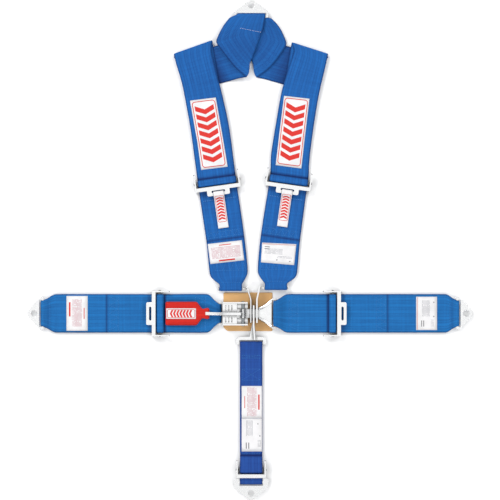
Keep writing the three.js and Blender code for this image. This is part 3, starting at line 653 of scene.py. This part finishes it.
UPPER_MIDDLE = {
    "left": [flat_pair((-34.3, 190), (-110, 180), 5.1), flat_pair((-42.8, 250), (-118, 239), 5.8)],
    "right": [flat_pair((117.5, 180), (41.5, 190), 5.1), flat_pair((125, 239), (51, 250), 5.8)],
}
left_upper = [
    under_pair(*UPPER_MIDDLE["left"], 0.5, 2.4),
    *round_lock_bar(SHOULDER["left"], WEB_HALF, 30),
    *UPPER_MIDDLE["left"],
    flat_pair((-56.5, 312), (-128.5, 298), 6.6),
    flat_pair((-66.5, 350), (-136, 333), 7),
    flat_pair((-76.4, 393), (-146.2, 367), 7),
    *roll((-74.7, 413), (-150.7, 386), 5.55, 1.45, (-0.335, 0.942), 90, -90),
    *roll((-61.5, 329), (-150.5, 382), 2.7, 1.4, (-0.512, -0.859), 90, -90),
    *cross_band(
        (-61.5, 329), (-150.5, 382), (-12.2, 341.7), (19.1, 427.2), [(0.32, 1.3), (0.6, 4.4), (0.8, 7.4)]
    ),
    *roll((-12.2, 341.7), (19.1, 427.2), 9.4, 1.4, (0.939, -0.344), -90, 90),
    flat_pair((-36.2, 367.7), (21.9, 430), 10.9),
    flat_pair((-66.4, 408.2), (25.7, 436), 11.1),
    flat_pair((-62.8, 424), (27.1, 443), 11.5),
    flat_pair((-52, 444), (28, 449), 12),
    flat_pair((-41, 457.8), (29.4, 457.6), 12.4),
    flat_pair((-34, 461.6), (30, 461.6), 12.3),
    flat_pair((-27.4, 464.6), (29.9, 464.6), 11.2),
    *round_bar(TOP, 0, TOP_Z, LOOP_OUTER_R, 25, -90, TOP_HALF),
    TOP.pair(-26, 1.2, TOP_HALF),
]
right_upper = [
    under_pair(*UPPER_MIDDLE["right"], 0.5, 2.4),
    *round_lock_bar(SHOULDER["right"], WEB_HALF, 30),
    *UPPER_MIDDLE["right"],
    flat_pair((134.4, 298), (62, 312), 6.6),
    flat_pair((142, 333), (73, 350), 7),
    flat_pair((149.6, 365), (87, 393), 7),
    *roll((154, 386), (82, 409), 5.55, 1.45, (0.335, 0.942), 90, -90),
    *roll((154, 382), (68, 327.2), 2.7, 1.4, (0.512, -0.859), 90, -90),
    *cross_band((154, 382), (68, 327.2), (-13.7, 427.2), (17, 341.7), [(0.5, 1.3)]),
    *roll((-13.7, 427.2), (17, 341.7), 2.75, 1.45, (-0.939, -0.344), -90, 90),
    flat_pair((-16.5, 430), (45.9, 367.7), 4.3),
    flat_pair((-20.3, 434), (71.3, 404.4), 4.6),
    flat_pair((-21.7, 440), (67, 423), 5.4),
    flat_pair((-22.1, 448), (56, 443), 7.4),
    flat_pair((-23.4, 453.5), (41, 458), 9.4),
    TOP.pair(-4, 10.5, TOP_HALF),
    *round_bar(TOP, 0, TOP_Z, LOOP_R, 90, -90, TOP_HALF),
    TOP.pair(-26, 3.1, TOP_HALF),
]
# Painted shadow on each cross band beside the main strap's selvage; YOKE_SHADE darkens the webbing over the
# yoke
BAND_SHADOW_LINES = {"left": ((-62, 335, 1.6), (-77, 400, 1.6)), "right": ((68, 335, 1.4), (84, 400, 1.4))}
YOKE_SHADE = fold(Vector((-30, 385, 9)), Vector((40, 415, 9)), 60, 0.25, 0.5)
for side, pairs in (("left", left_upper), ("right", right_upper)):
    band = fold(*(Vector(p) for p in BAND_SHADOW_LINES[side]), 56, 0.82, 1.6, 12)
    painted_fold_shades = [painted_wrap_shade(SHOULDER[side]), band, YOKE_SHADE]
    webbing(f"shoulder_webbing_{side}_upper", pairs, WEB_HALF, SHOULDER_WEBBING, painted_fold_shades)

LOBE_TIPS = {"left": ((-9, 350), (4.4, -0.6)), "right": ((13.5, 350), (-3.6, -0.6))}


PUSH_REACH = 20


def push(obj, middle, shift):
    """Moves what lies round a place, most in its middle, to round a soft corner."""
    for vertex in obj.data.vertices:
        near = (vertex.co.xy / MM - Vector(middle)).length / PUSH_REACH
        vertex.co.xy += Vector(shift) * MM * max(0.0, 1 - near * near) ** 2


for side, (middle, shift) in LOBE_TIPS.items():
    push(WEBBING_PIECES[f"shoulder_webbing_{side}_upper"], middle, shift)

CROTCH_LINK_U = CROTCH_Y - CROTCH_LINK_Y
crotch_end = sewn_end(CROTCH, CROTCH_LINK_U, ANCHOR_Z, CROTCH_HALF, CROTCH_HALF, -1, 22, 75, 5)
crotch_pairs = round_lock_bar(CROTCH, CROTCH_HALF, 100, CROTCH_DIP) + crotch_end
webbing("crotch_webbing", crotch_pairs, CROTCH_HALF, CROTCH_WEBBING, [painted_wrap_shade(CROTCH, CROTCH_DIP)])
CROTCH_BAR_U = 17.5 - LOOP_R - WEB_THICK / 2
crotch_loop = [
    CROTCH.pair(7.4, 1.3, CROTCH_HALF),
    *round_bar(CROTCH, 0, PIN_Z, PIN_LOOP_R, -90, -270, CROTCH_HALF),
    *round_bar(CROTCH, CROTCH_BAR_U, ANCHOR_Z, LOOP_R, 90, -90, CROTCH_HALF),
    CROTCH.pair(9.6, 1.3, CROTCH_HALF),
]
webbing("crotch_loop_strap", crotch_loop, CROTCH_HALF, CROTCH_WEBBING)


# ---- Pieces laid on the webbing ----
class Top:
    """Finds the height of a woven piece above or below a place."""

    def __init__(self, obj):
        corners = [v.co for v in obj.data.vertices]
        self.tree = BVHTree.FromPolygons(corners, [tuple(p.vertices) for p in obj.data.polygons])

    def height(self, x, y, below=False):
        start, way = (-0.05, 1) if below else (0.1, -1)
        hit = self.tree.ray_cast(Vector((x * MM, y * MM, start)), Vector((0, 0, way)))[0]
        return None if hit is None else hit.z / MM


TOPS = {node: Top(obj) for node, obj in WEBBING_PIECES.items()}


LAID_LIFT = 0.12
LAID_ROW = 8
LAID_EDGE = 0.5  # how far a thin piece's edges are rounded


def laid(name, node, under, corners, material):
    """A patch through (right, left) pairs of corners, following the webbing under it."""
    top = TOPS[under]
    pairs = []
    for (a0, b0), (a1, b1) in zip(corners, corners[1:]):
        rows = max(2, round((Vector(a1) - Vector(a0)).length / LAID_ROW))
        for i in range(rows + (corners[-1] == (a1, b1))):
            row = []
            for p, q in ((a0, a1), (b0, b1)):
                x, y = between(p, q, i / rows)
                row.append(Vector((x, y, top.height(x, y) + LAID_LIFT + PATCH_THICK / 2)))
            pairs.append(tuple(row))
    obj = ribbon(name, pairs, material, PATCH_THICK, 6.0, LAID_EDGE)
    stands_for(obj, node)


THREAD_PITCH = 0.0008  # of the label cloth's weave, in metres
CHEVRON_SLANT = 0.45  # how far back a chevron's arms go for each unit across
CHEVRON_SHARE = 0.62  # how much of each chevron's room is red


def printed_cloth(name, half_y, marks, small=(), ink=(0.45, 0.13, 0.17), dark=(), turned=False):
    """White label cloth with marks made by marks(nodes, x, y), a mask of where the red is.

    small is boxes (x0, x1, y0, y1) of broken lines in ink, dark is rules in near black, and turned
    prints along the strap instead of across it.
    """
    n = Nodes(name, WHITE_LIGHT, 0.72)
    across, along = n.weave_uv()[1:]
    x, y = across, n.math("SUBTRACT", along, half_y * MM)
    if turned:
        x, y = y, n.math("MULTIPLY", across, -1.0)
    mask = marks(n, x, y)
    warp = n.math("SINE", n.math("MULTIPLY", across, 2 * math.pi / THREAD_PITCH))
    weft = n.math("SINE", n.math("MULTIPLY", along, 2 * math.pi / THREAD_PITCH))
    cloth = n.math("MULTIPLY_ADD", n.math("MULTIPLY", warp, weft), 0.5, 0.5)
    wear = n.noise(n.place(), 55.0, 4.0)
    shade = n.math("MULTIPLY_ADD", cloth, 0.25, wear)
    white = n.mix(shade, WHITE_DARK, WHITE_LIGHT)
    for box in small:
        white = n.mix(n.math("MULTIPLY", print_lines(n, x, y, *box), 0.75), white, ink)
    white = n.mix(rule_marks(dark)(n, x, y), white, (0.05, 0.05, 0.06))
    red = n.mix(n.math("MULTIPLY_ADD", cloth, 0.5, 0.5), RED_DARK, RED_LIGHT)
    n.surface(Base_Color=n.mix(mask, white, red))
    n.bump(n.math("ADD", n.math("MULTIPLY", cloth, 0.4), mask), 0.00016)
    n.surface(Sheen_Weight=0.05)
    return n.material


def inside(n, value, half):
    """1 where the absolute value is under half."""
    return n.math("LESS_THAN", n.math("ABSOLUTE", value), half)


def box_mask(n, x, y, middle_x, middle_y, half_x, half_y):
    """1 in a box, whose middle and half size are in millimetres."""
    in_x = inside(n, n.math("SUBTRACT", x, middle_x * MM), half_x * MM)
    in_y = inside(n, n.math("SUBTRACT", y, middle_y * MM), half_y * MM)
    return n.math("MULTIPLY", in_x, in_y)


def box_distance(n, x, y, half_x, half_y, radius):
    """Signed distance to a rounded box, in metres."""
    qx = n.math("SUBTRACT", n.math("ABSOLUTE", x), half_x - radius)
    qy = n.math("SUBTRACT", n.math("ABSOLUTE", y), half_y - radius)
    ox, oy = n.math("MAXIMUM", qx, 0.0), n.math("MAXIMUM", qy, 0.0)
    corner = n.math("SQRT", n.math("ADD", n.math("MULTIPLY", ox, ox), n.math("MULTIPLY", oy, oy)))
    inner = n.math("MINIMUM", n.math("MAXIMUM", qx, qy), 0.0)
    return n.math("SUBTRACT", n.math("ADD", corner, inner), radius)


def badge_marks(half_x, half_y, chevrons, inset=4, line=0.8, gap_x=7.5, gap_y=12):
    """A thin red border with a row of bold whole chevrons inside it."""
    half_wide = half_x - gap_x
    half_long = half_y - gap_y - CHEVRON_SLANT / 2 * half_wide
    period = 2 * half_long / (chevrons - 1 + CHEVRON_SHARE)

    def marks(n, x, y):
        distance = box_distance(n, x, y, (half_x - inset) * MM, (half_y - inset) * MM, inset * 1.3 * MM)
        border = inside(n, distance, line * MM)
        slanted = n.math("MULTIPLY_ADD", n.math("ABSOLUTE", x), -CHEVRON_SLANT, y)
        pointed = n.math("ADD", slanted, CHEVRON_SLANT / 2 * half_wide * MM)
        phase = n.math("FRACT", n.math("DIVIDE", n.math("ADD", pointed, half_long * MM), period * MM))
        band = n.math("LESS_THAN", phase, CHEVRON_SHARE)
        room = n.math("MULTIPLY", inside(n, pointed, half_long * MM), inside(n, x, half_wide * MM))
        return n.math("MAXIMUM", border, n.math("MULTIPLY", band, room))

    return marks


PRINT_PITCH = 2.3


def print_lines(n, x, y, x0, x1, y0, y1):
    """A mask of broken lines that fill a box, like small print with nothing to read."""
    room = box_mask(n, x, y, (x0 + x1) / 2, (y0 + y1) / 2, (x1 - x0) / 2, (y1 - y0) / 2)
    row = n.math("DIVIDE", n.math("ADD", y, 1.0), PRINT_PITCH * MM)
    line = n.math("LESS_THAN", n.math("FRACT", row), 0.46)
    spot = n.node("ShaderNodeCombineXYZ")
    n.plug(spot.inputs[0], n.math("MULTIPLY", x, 420.0))
    n.plug(spot.inputs[1], n.math("MULTIPLY", n.math("FLOOR", row), 7.3))
    broken = n.math("GREATER_THAN", n.noise(spot.outputs[0], 1.0, 1.0), 0.41)
    return n.math("MULTIPLY", room, n.math("MULTIPLY", line, broken))


def rule_marks(rules):
    """A mask of plain rules: each one is its middle (x, y) and half size, from the label's middle."""

    def marks(n, x, y):
        mask = 0.0
        for rule in rules:
            mask = n.math("MAXIMUM", mask, box_mask(n, x, y, *rule))
        return mask

    return marks


# ---- Patches and labels ----
# Corners of the patches and labels, as (right, left) pairs along each strap.
LARGE_PATCHES = {
    "left": [((-44.5, 164.4), (-96.9, 158)), ((-53.5, 219), (-104.5, 213)), ((-68, 301.3), (-119.1, 294.9))],
    "right": [((101.3, 160.8), (50.5, 167.6)), ((107.5, 215.5), (56.8, 222)), ((117.5, 298.7), (67, 304.5))],
}
SMALL_LABELS = {
    "left": [((-16.6, 18.9), (-84.2, 11.4)), ((-11.8, -20.7), (-78.7, -28.3))],
    "right": [((91.5, 11), (23.7, 14.2)), ((87, -30.5), (21.3, -24.9))],
}
GREY_INK = (0.30, 0.30, 0.33)
BADGE = printed_cloth("badge_cloth", 69.3, badge_marks(26.4, 69.3, 7))
SMALL_LABEL = printed_cloth(
    "label_cloth", 20, rule_marks([(0, -15, 12, 0.8), (0, 15.5, 16, 1.5)]), [(-29, 29, -11, 11)]
)
PLAIN_LABEL = printed_cloth(
    "plain_label_cloth", 20, rule_marks([(0, -17.8, 33, 0.35)]),
    [(-8, 28, -10, 2), (-28, 2, 5, 9)], GREY_INK,
    [(23, -12, 5, 0.7), (23, -8, 5, 0.7), (2, 13, 1, 1), (-24, 14, 1, 1)],
)
LAP_LABEL = printed_cloth(
    "lap_label_cloth", 21, rule_marks([(0, -14, 11, 0.8), (8, 14.5, 14, 1.6)]), [(-26, 28, -9.5, 10)]
)
LAP_PLAIN_LABEL = printed_cloth(
    "lap_plain_label_cloth", 21, rule_marks([(0, -18.5, 32, 0.35)]),
    [(-26, 6, -10, 6), (12, 26, 8, 14)], GREY_INK,
    [(20, -10, 6, 0.7), (20, -6, 6, 0.7), (6, 14, 1, 1), (-22, 14, 1, 1)],
)
CROTCH_LABEL = printed_cloth(
    "crotch_label_cloth", 31.9, rule_marks([(0, -14, 12, 0.7), (0, 14, 15, 1.4)]),
    [(-29, 28, -10, 10)], turned=True,
)
CROTCH_PLAIN_LABEL = printed_cloth(
    "crotch_plain_label_cloth", 32.7, rule_marks([]), [(-29, 2, -12, 2), (10, 24, 12, 18)], GREY_INK,
    [(21, -11, 6, 0.8), (21, -6, 6, 0.8), (-22, 12, 1, 1), (2, 16, 1, 1)], True,
)


def strap_patch(strap, start, end, half):
    """The corners of a patch from start to end along a strap."""
    return [tuple(tuple(p[:2]) for p in strap.pair(u, 0, half)) for u in (start, end)]


for side in SIDES:
    upper, lower = f"shoulder_webbing_{side}_upper", f"shoulder_webbing_{side}_lower"
    laid(f"shoulder_{side}_badge", f"shoulder_patch_{side}", upper, LARGE_PATCHES[side], BADGE)
    cloth = SMALL_LABEL if side == "left" else PLAIN_LABEL
    laid(f"shoulder_{side}_label", f"shoulder_label_{side}", lower, SMALL_LABELS[side], cloth)
LAP_CORNERS = {side: strap_patch(LAP[side], *spec["label"]) for side, spec in LAP_SPECS.items()}
for side, corners in LAP_CORNERS.items():
    cloth = LAP_LABEL if side == "left" else LAP_PLAIN_LABEL
    laid(f"lap_{side}_label", f"lap_label_{side}", f"lap_webbing_{side}_outer", corners, cloth)
CROTCH_LABELS = StrapFrame(3.3, CROTCH_Y, -90)
CROTCH_LABEL_HALF = 20.2
for part, start, end, cloth in (
    ("upper", -177.4, -113.6, CROTCH_LABEL),
    ("lower", -113.2, -47.8, CROTCH_PLAIN_LABEL),
):
    corners = strap_patch(CROTCH_LABELS, start, end, CROTCH_LABEL_HALF)
    laid(f"crotch_{part}_label", f"crotch_label_{part}", "crotch_webbing", corners, cloth)

PULL_CLOTH = printed_cloth("pull_cloth", 113, badge_marks(RIBBON_HALF, 29, 8, 1.9, 0.5, 3.6, 5))
# A release ribbon's path along its strap: under, through the pull slot, and back over itself.
RIBBON_PATH = [
    (80, 6.1), (27, 6.1), (20, 7.3), (14, 10.6), (9.6, 11.2), (7.3, 12), (6.8, 13.4), (7.4, 15),
    (9.4, 15.6), (15.8, 15.5), (21, 10.4), (28, 7.4), (80, 7.4),
]
for side in SIDES:
    pairs = [SHOULDER[side].pair(u, z, RIBBON_HALF) for u, z in RIBBON_PATH]
    pull = ribbon(f"release_pull_{side}", pairs, PULL_CLOTH, RIBBON_THICK, 3.0, LAID_EDGE)
    stands_for(pull, f"release_ribbon_{side}")


# ---- Stitching ----
STITCH_PITCH = 3.4
STITCH_LONG, STITCH_WIDE, STITCH_HIGH = 2.5, 0.75, 0.42
# One stitch: a six-sided foot sunk in the cloth and a four-sided top, as shares of its half length,
# half width and height.
STITCH_SINK, STITCH_RISE = -0.15, 0.85
STITCH_FOOT = [(-1, 0), (-0.55, 1), (0.55, 1), (1, 0), (0.55, -1), (-0.55, -1)]
STITCH_TOP = [(-0.45, 0.4), (0.45, 0.4), (0.45, -0.4), (-0.45, -0.4)]
STITCH_POINTS = [(*p, STITCH_SINK) for p in STITCH_FOOT] + [(*p, STITCH_RISE) for p in STITCH_TOP]
STITCH_FACES = [
    (5, 4, 3, 2, 1, 0), (6, 7, 8, 9), (1, 2, 7, 6), (4, 5, 9, 8), (0, 1, 6), (0, 6, 9), (0, 9, 5),
    (2, 3, 7), (3, 8, 7), (3, 4, 8),
]


def stitch_run(line, pitch):
    """Middles and directions of the stitches along a line of (x, y) points."""
    made = []
    for (x0, y0), (x1, y1) in zip(line, line[1:]):
        span = math.hypot(x1 - x0, y1 - y0)
        count = max(1, round(span / pitch))
        for i in range(count):
            t = (i + 0.5) / count
            made.append((x0 + (x1 - x0) * t, y0 + (y1 - y0) * t, (x1 - x0) / span, (y1 - y0) / span))
    return made


def sew(name, under, lines, material, sides=("above", "below"), size=1.0):
    """Short raised stitches along lines of (x, y) points, on one or both faces of a woven piece."""
    points, faces = [], []
    long, wide, high = STITCH_LONG * size / 2, STITCH_WIDE * size / 2, STITCH_HIGH * size
    for side in sides:
        up = 1 if side == "above" else -1
        for line in lines:
            for x, y, dx, dy in stitch_run(line, STITCH_PITCH * size):
                z = under.height(x, y, side == "below")
                if z is None:
                    continue
                first = len(points)
                for along, across, rise in STITCH_POINTS:
                    px = x + dx * along * long - dy * across * wide
                    py = y + dy * along * long + dx * across * wide
                    points.append(Vector((px, py, z + up * rise * high)))
                faces += [tuple(first + k for k in (f if up > 0 else f[::-1])) for f in STITCH_FACES]
    return make_mesh(name, points, faces, material)


def strap_lines(strap, lines):
    """Lines given along and across a strap, as (x, y) points."""
    return [[tuple(strap.point(u, v, 0)[:2]) for u, v in line] for line in lines]


def box_lines(u0, u1, half):
    """A box of stitching with a cross in it."""
    ring = [(u0, -half), (u1, -half), (u1, half), (u0, half), (u0, -half)]
    return [ring, [(u0, -half), (u1, half)], [(u0, half), (u1, -half)]]


def zigzag(u0, u1, half, teeth):
    """A W of stitching between two rows."""
    path = [(u0 if i % 2 else u1, -half + 2 * half * i / teeth) for i in range(teeth + 1)]
    return [[(u0, -half), (u0, half)], [(u1, -half), (u1, half)], path]


def seam(name, node, strap, lines, material=BLUE_THREAD):
    """Stitching on both faces of a CAD strap's woven piece."""
    obj = sew(name, TOPS[node], strap_lines(strap, lines), material)
    link(obj, BODY_OF[node])


SEAM_HALF = 33
for side, spec in LAP_SPECS.items():
    node = f"lap_webbing_{side}_outer"
    bar = LAP_BAR_U[side]
    edge = WEB_HALF - 5
    lines = [[(24, -edge), (24, edge)], *zigzag(spec["seam"] - 22, spec["seam"] - 4, edge, 8)]
    lines += zigzag(bar - 82, bar - 48, edge, 6) + [[(bar - 14, -22), (bar - 14, 22)]]
    seam(f"lap_{side}_outer_stitching", node, LAP[side], lines)
for side, bar, reach in (("left", LATCH_BAR_U, 47), ("right", TONGUE_BAR_U, 45)):
    lines = zigzag(bar + 27, bar + reach, SEAM_HALF, 8)
    seam(f"lap_{side}_inner_stitching", f"lap_webbing_{side}_inner", LAP[side], lines)
for side in SIDES:
    node = f"shoulder_webbing_{side}_lower"
    seam(f"shoulder_{side}_adjuster_stitching", node, SHOULDER[side], zigzag(86, 97, SEAM_HALF, 10))
    hem_line = [(22.5, -SEAM_HALF), (22.5, SEAM_HALF)]
    seam(f"shoulder_{side}_hem_stitching", node, SHOULDER[side], [hem_line], PALE_THREAD)
    end_lines = zigzag(-57, -36, 31, 8) + [[(-13, -19), (-13, 19)]]
    seam(f"shoulder_{side}_link_stitching", node, LINK_END[side], end_lines)
crotch_lines = [*box_lines(-238.3, -232.3, 18), *box_lines(-211, -189, 18), [(-43, -18), (-43, 18)]]
seam("crotch_stitching", "crotch_webbing", CROTCH, crotch_lines)
YOKE_LINE = [(-20.2, 438), (21.9, 429.6)]
yoke_seam = sew("yoke_seam", TOPS["shoulder_webbing_left_upper"], [YOKE_LINE], WHITE_THREAD, ("above",))
link(yoke_seam, BODY_OF["shoulder_webbing_left_upper"])


EDGING_INSET = 1.4  # from a patch's edges to its stitches
EDGING_CORNER = 1.3  # how many times as far in the stitches turn at a corner


def edge_line(corners):
    """A closed line just inside the edge of a patch."""
    right = [Vector(pair[0]) for pair in corners]
    left = [Vector(pair[1]) for pair in corners]
    middle = sum(right + left, Vector((0, 0))) / (2 * len(right))
    line = []
    for p in right + left[::-1] + right[:1]:
        away = p - middle
        line.append(tuple(p - away.normalized() * EDGING_INSET * EDGING_CORNER))
    return [line]


def edging(name, label, node, corners):
    """White stitches round the edge of the laid piece named label."""
    top = Top(bpy.data.objects[label])
    obj = sew(name, top, edge_line(corners), WHITE_THREAD, ("above",), 0.7)
    link(obj, BODY_OF[node])


for side in SIDES:
    badge, label = f"shoulder_{side}_badge", f"shoulder_{side}_label"
    edging(f"badge_{side}_edging", badge, f"shoulder_patch_{side}", LARGE_PATCHES[side])
    edging(f"label_{side}_edging", label, f"shoulder_label_{side}", SMALL_LABELS[side])
for side, corners in LAP_CORNERS.items():
    edging(f"lap_{side}_edging", f"lap_{side}_label", f"lap_label_{side}", corners)


# ---- Lever sleeve ----
CORNER_STEPS = 6


def smooth_outline(corners, radius):
    """A closed outline with its corners rounded by curves."""
    made = []
    for i, corner in enumerate(corners):
        here = Vector(corner)
        before = Vector(corners[i - 1]) - here
        after = Vector(corners[(i + 1) % len(corners)]) - here
        reach = min(radius, before.length * 0.45, after.length * 0.45)
        start, end = here + before.normalized() * reach, here + after.normalized() * reach
        for k in range(CORNER_STEPS + 1):
            t = k / CORNER_STEPS
            made.append(start * (1 - t) ** 2 + here * 2 * t * (1 - t) + end * t**2)
    return made


def pillow(name, outline, middle, z, half_high, material, rings=9, power=0.5):
    """A closed soft form over a flat outline, crowned between its edges; a low power makes it flatter."""
    count = len(outline)
    points, uvs, faces = [], [], []
    levels = [(math.sin(math.pi / 2 * i / rings), 1) for i in range(1, rings + 1)]
    rows = levels + [(r, -1) for r, _ in levels[-2::-1]]
    for r, side in rows:
        high = half_high * (1 - r**6) ** power
        for p in outline:
            q = middle + (p - middle) * r
            points.append(Vector((q.x, q.y, z + side * high)))
            uvs.append(((q.y - middle.y) * MM, (q.x - middle.x) * MM))
    for i in range(len(rows) - 1):
        for k in range(count):
            nxt = (k + 1) % count
            faces.append((i * count + k, (i + 1) * count + k, (i + 1) * count + nxt, i * count + nxt))
    for side, base in ((1, 0), (-1, (len(rows) - 1) * count)):
        points.append(Vector((middle.x, middle.y, z + side * half_high)))
        uvs.append((0.0, 0.0))
        centre = len(points) - 1
        for k in range(count):
            nxt = (k + 1) % count
            faces.append((centre, base + k, base + nxt) if side > 0 else (centre, base + nxt, base + k))
    return fix_facing(make_mesh(name, points, faces, material, uvs))


SLEEVE_MIDDLE = Vector((-122, LAP_Y))
SLEEVE_EDGE = [(-167.3, 23.4), (-105.5, 23.4), (-94.5, 8.6), (-84, 11.3), (-80.5, 9.6)]
sleeve_corners = [(x, -y) for x, y in SLEEVE_EDGE] + SLEEVE_EDGE[::-1]
sleeve_line = [p + Vector((0, LAP_Y)) for p in smooth_outline(sleeve_corners, 4)]
sleeve = pillow("lever_sleeve_cloth", sleeve_line, SLEEVE_MIDDLE, 12.0, 3.7, RED_WEBBING)
stands_for(sleeve, "lever_sleeve")
RED_THREAD = thread_material("red_thread", (0.6, 0.04, 0.025))
sleeve_hem = [tuple(SLEEVE_MIDDLE + (p - SLEEVE_MIDDLE) * 0.93) for p in sleeve_line]
sleeve_stitching = sew("sleeve_stitching", Top(sleeve), [sleeve_hem], RED_THREAD, size=0.6)
link(sleeve_stitching, "lever")

LABEL_HALF = 10.4
SLEEVE_LABEL = printed_cloth("sleeve_label_cloth", 29.2, badge_marks(LABEL_HALF, 29.2, 7, 2.2, 0.5, 3.2, 7))
label_rows = [
    flat_pair((x, LAP_Y - LABEL_HALF), (x, LAP_Y + LABEL_HALF), 16.4) for x in (-165.4, -145, -126, -107)
]
sleeve_label = ribbon("sleeve_label_cloth", label_rows, SLEEVE_LABEL, PATCH_THICK, 5.0, LAID_EDGE)
stands_for(sleeve_label, "sleeve_label")


# ---- Buckle pad ----
PAD_CORNERS = [(-52.9, -154), (-45, -161.2), (44.3, -161.2), (44.3, -84.8), (-52.9, -84.8)]
pad_line = smooth_outline(PAD_CORNERS, 3)
pad_middle = Vector((-4, -123))
pad = pillow("buckle_pad_leather", pad_line, pad_middle, 0.62, 0.6, LEATHER, 8, 0.25)
stands_for(pad, "buckle_pad")
pad_hem = [tuple(pad_middle + (p - pad_middle) * 0.945) for p in pad_line]
pad_stitching = sew("pad_stitching", Top(pad), [pad_hem], TAN_THREAD, size=0.8)
link(pad_stitching, "buckle")


# ---- Floor, light and camera ----
def floor():
    """A plain pale floor just under the harness."""
    mesh = bpy.data.meshes.new("floor")
    mesh.from_pydata([(-6, -6, 0), (6, -6, 0), (6, 6, 0), (-6, 6, 0)], [], [(0, 1, 2, 3)])
    mesh.materials.append(Nodes("floor_paper", (0.93, 0.93, 0.93), 0.9).material)
    made = bpy.data.objects.new("floor", mesh)
    bpy.context.scene.collection.objects.link(made)
    made.location.z = -0.0004
    return made


MIDDLE = Vector((0, 0, 0))  # where every light aims


def area_light(name, place, size, power):
    """A square soft light over the harness."""
    data = bpy.data.lights.new(name, "AREA")
    data.shape = "SQUARE"
    data.size = size
    data.energy = power
    made = bpy.data.objects.new(name, data)
    made.location = place
    made.rotation_euler = (MIDDLE - Vector(place)).to_track_quat("-Z", "Y").to_euler()
    bpy.context.scene.collection.objects.link(made)


floor()
area_light("overhead", (0, 0, 3.6), 3.0, 26)
for name, x, y, power in (
    ("key", -2.0, 2.2, 84),
    ("fill", 2.2, 1.9, 50),
    ("left_low", -2.2, -1.9, 50),
    ("right_low", 2.1, -2.0, 40),
):
    area_light(name, (x, y, 2.4), 1.8, power)
world = bpy.data.worlds.new("studio")
world.use_nodes = True
sky = world.node_tree.nodes["Background"]
sky.inputs["Color"].default_value = (0.93, 0.95, 1.0, 1)
sky.inputs["Strength"].default_value = 0.2
bpy.context.scene.world = world
bpy.context.scene.view_settings.view_transform = "Standard"

camera = bpy.data.cameras.new("overhead_camera")
camera.lens = 108.9
camera.sensor_width = 36
camera.clip_end = 50
eye = bpy.data.objects.new("overhead_camera", camera)
eye.location = (-0.0003, -0.0005, 3.0)
bpy.context.scene.collection.objects.link(eye)
bpy.context.scene.camera = eye
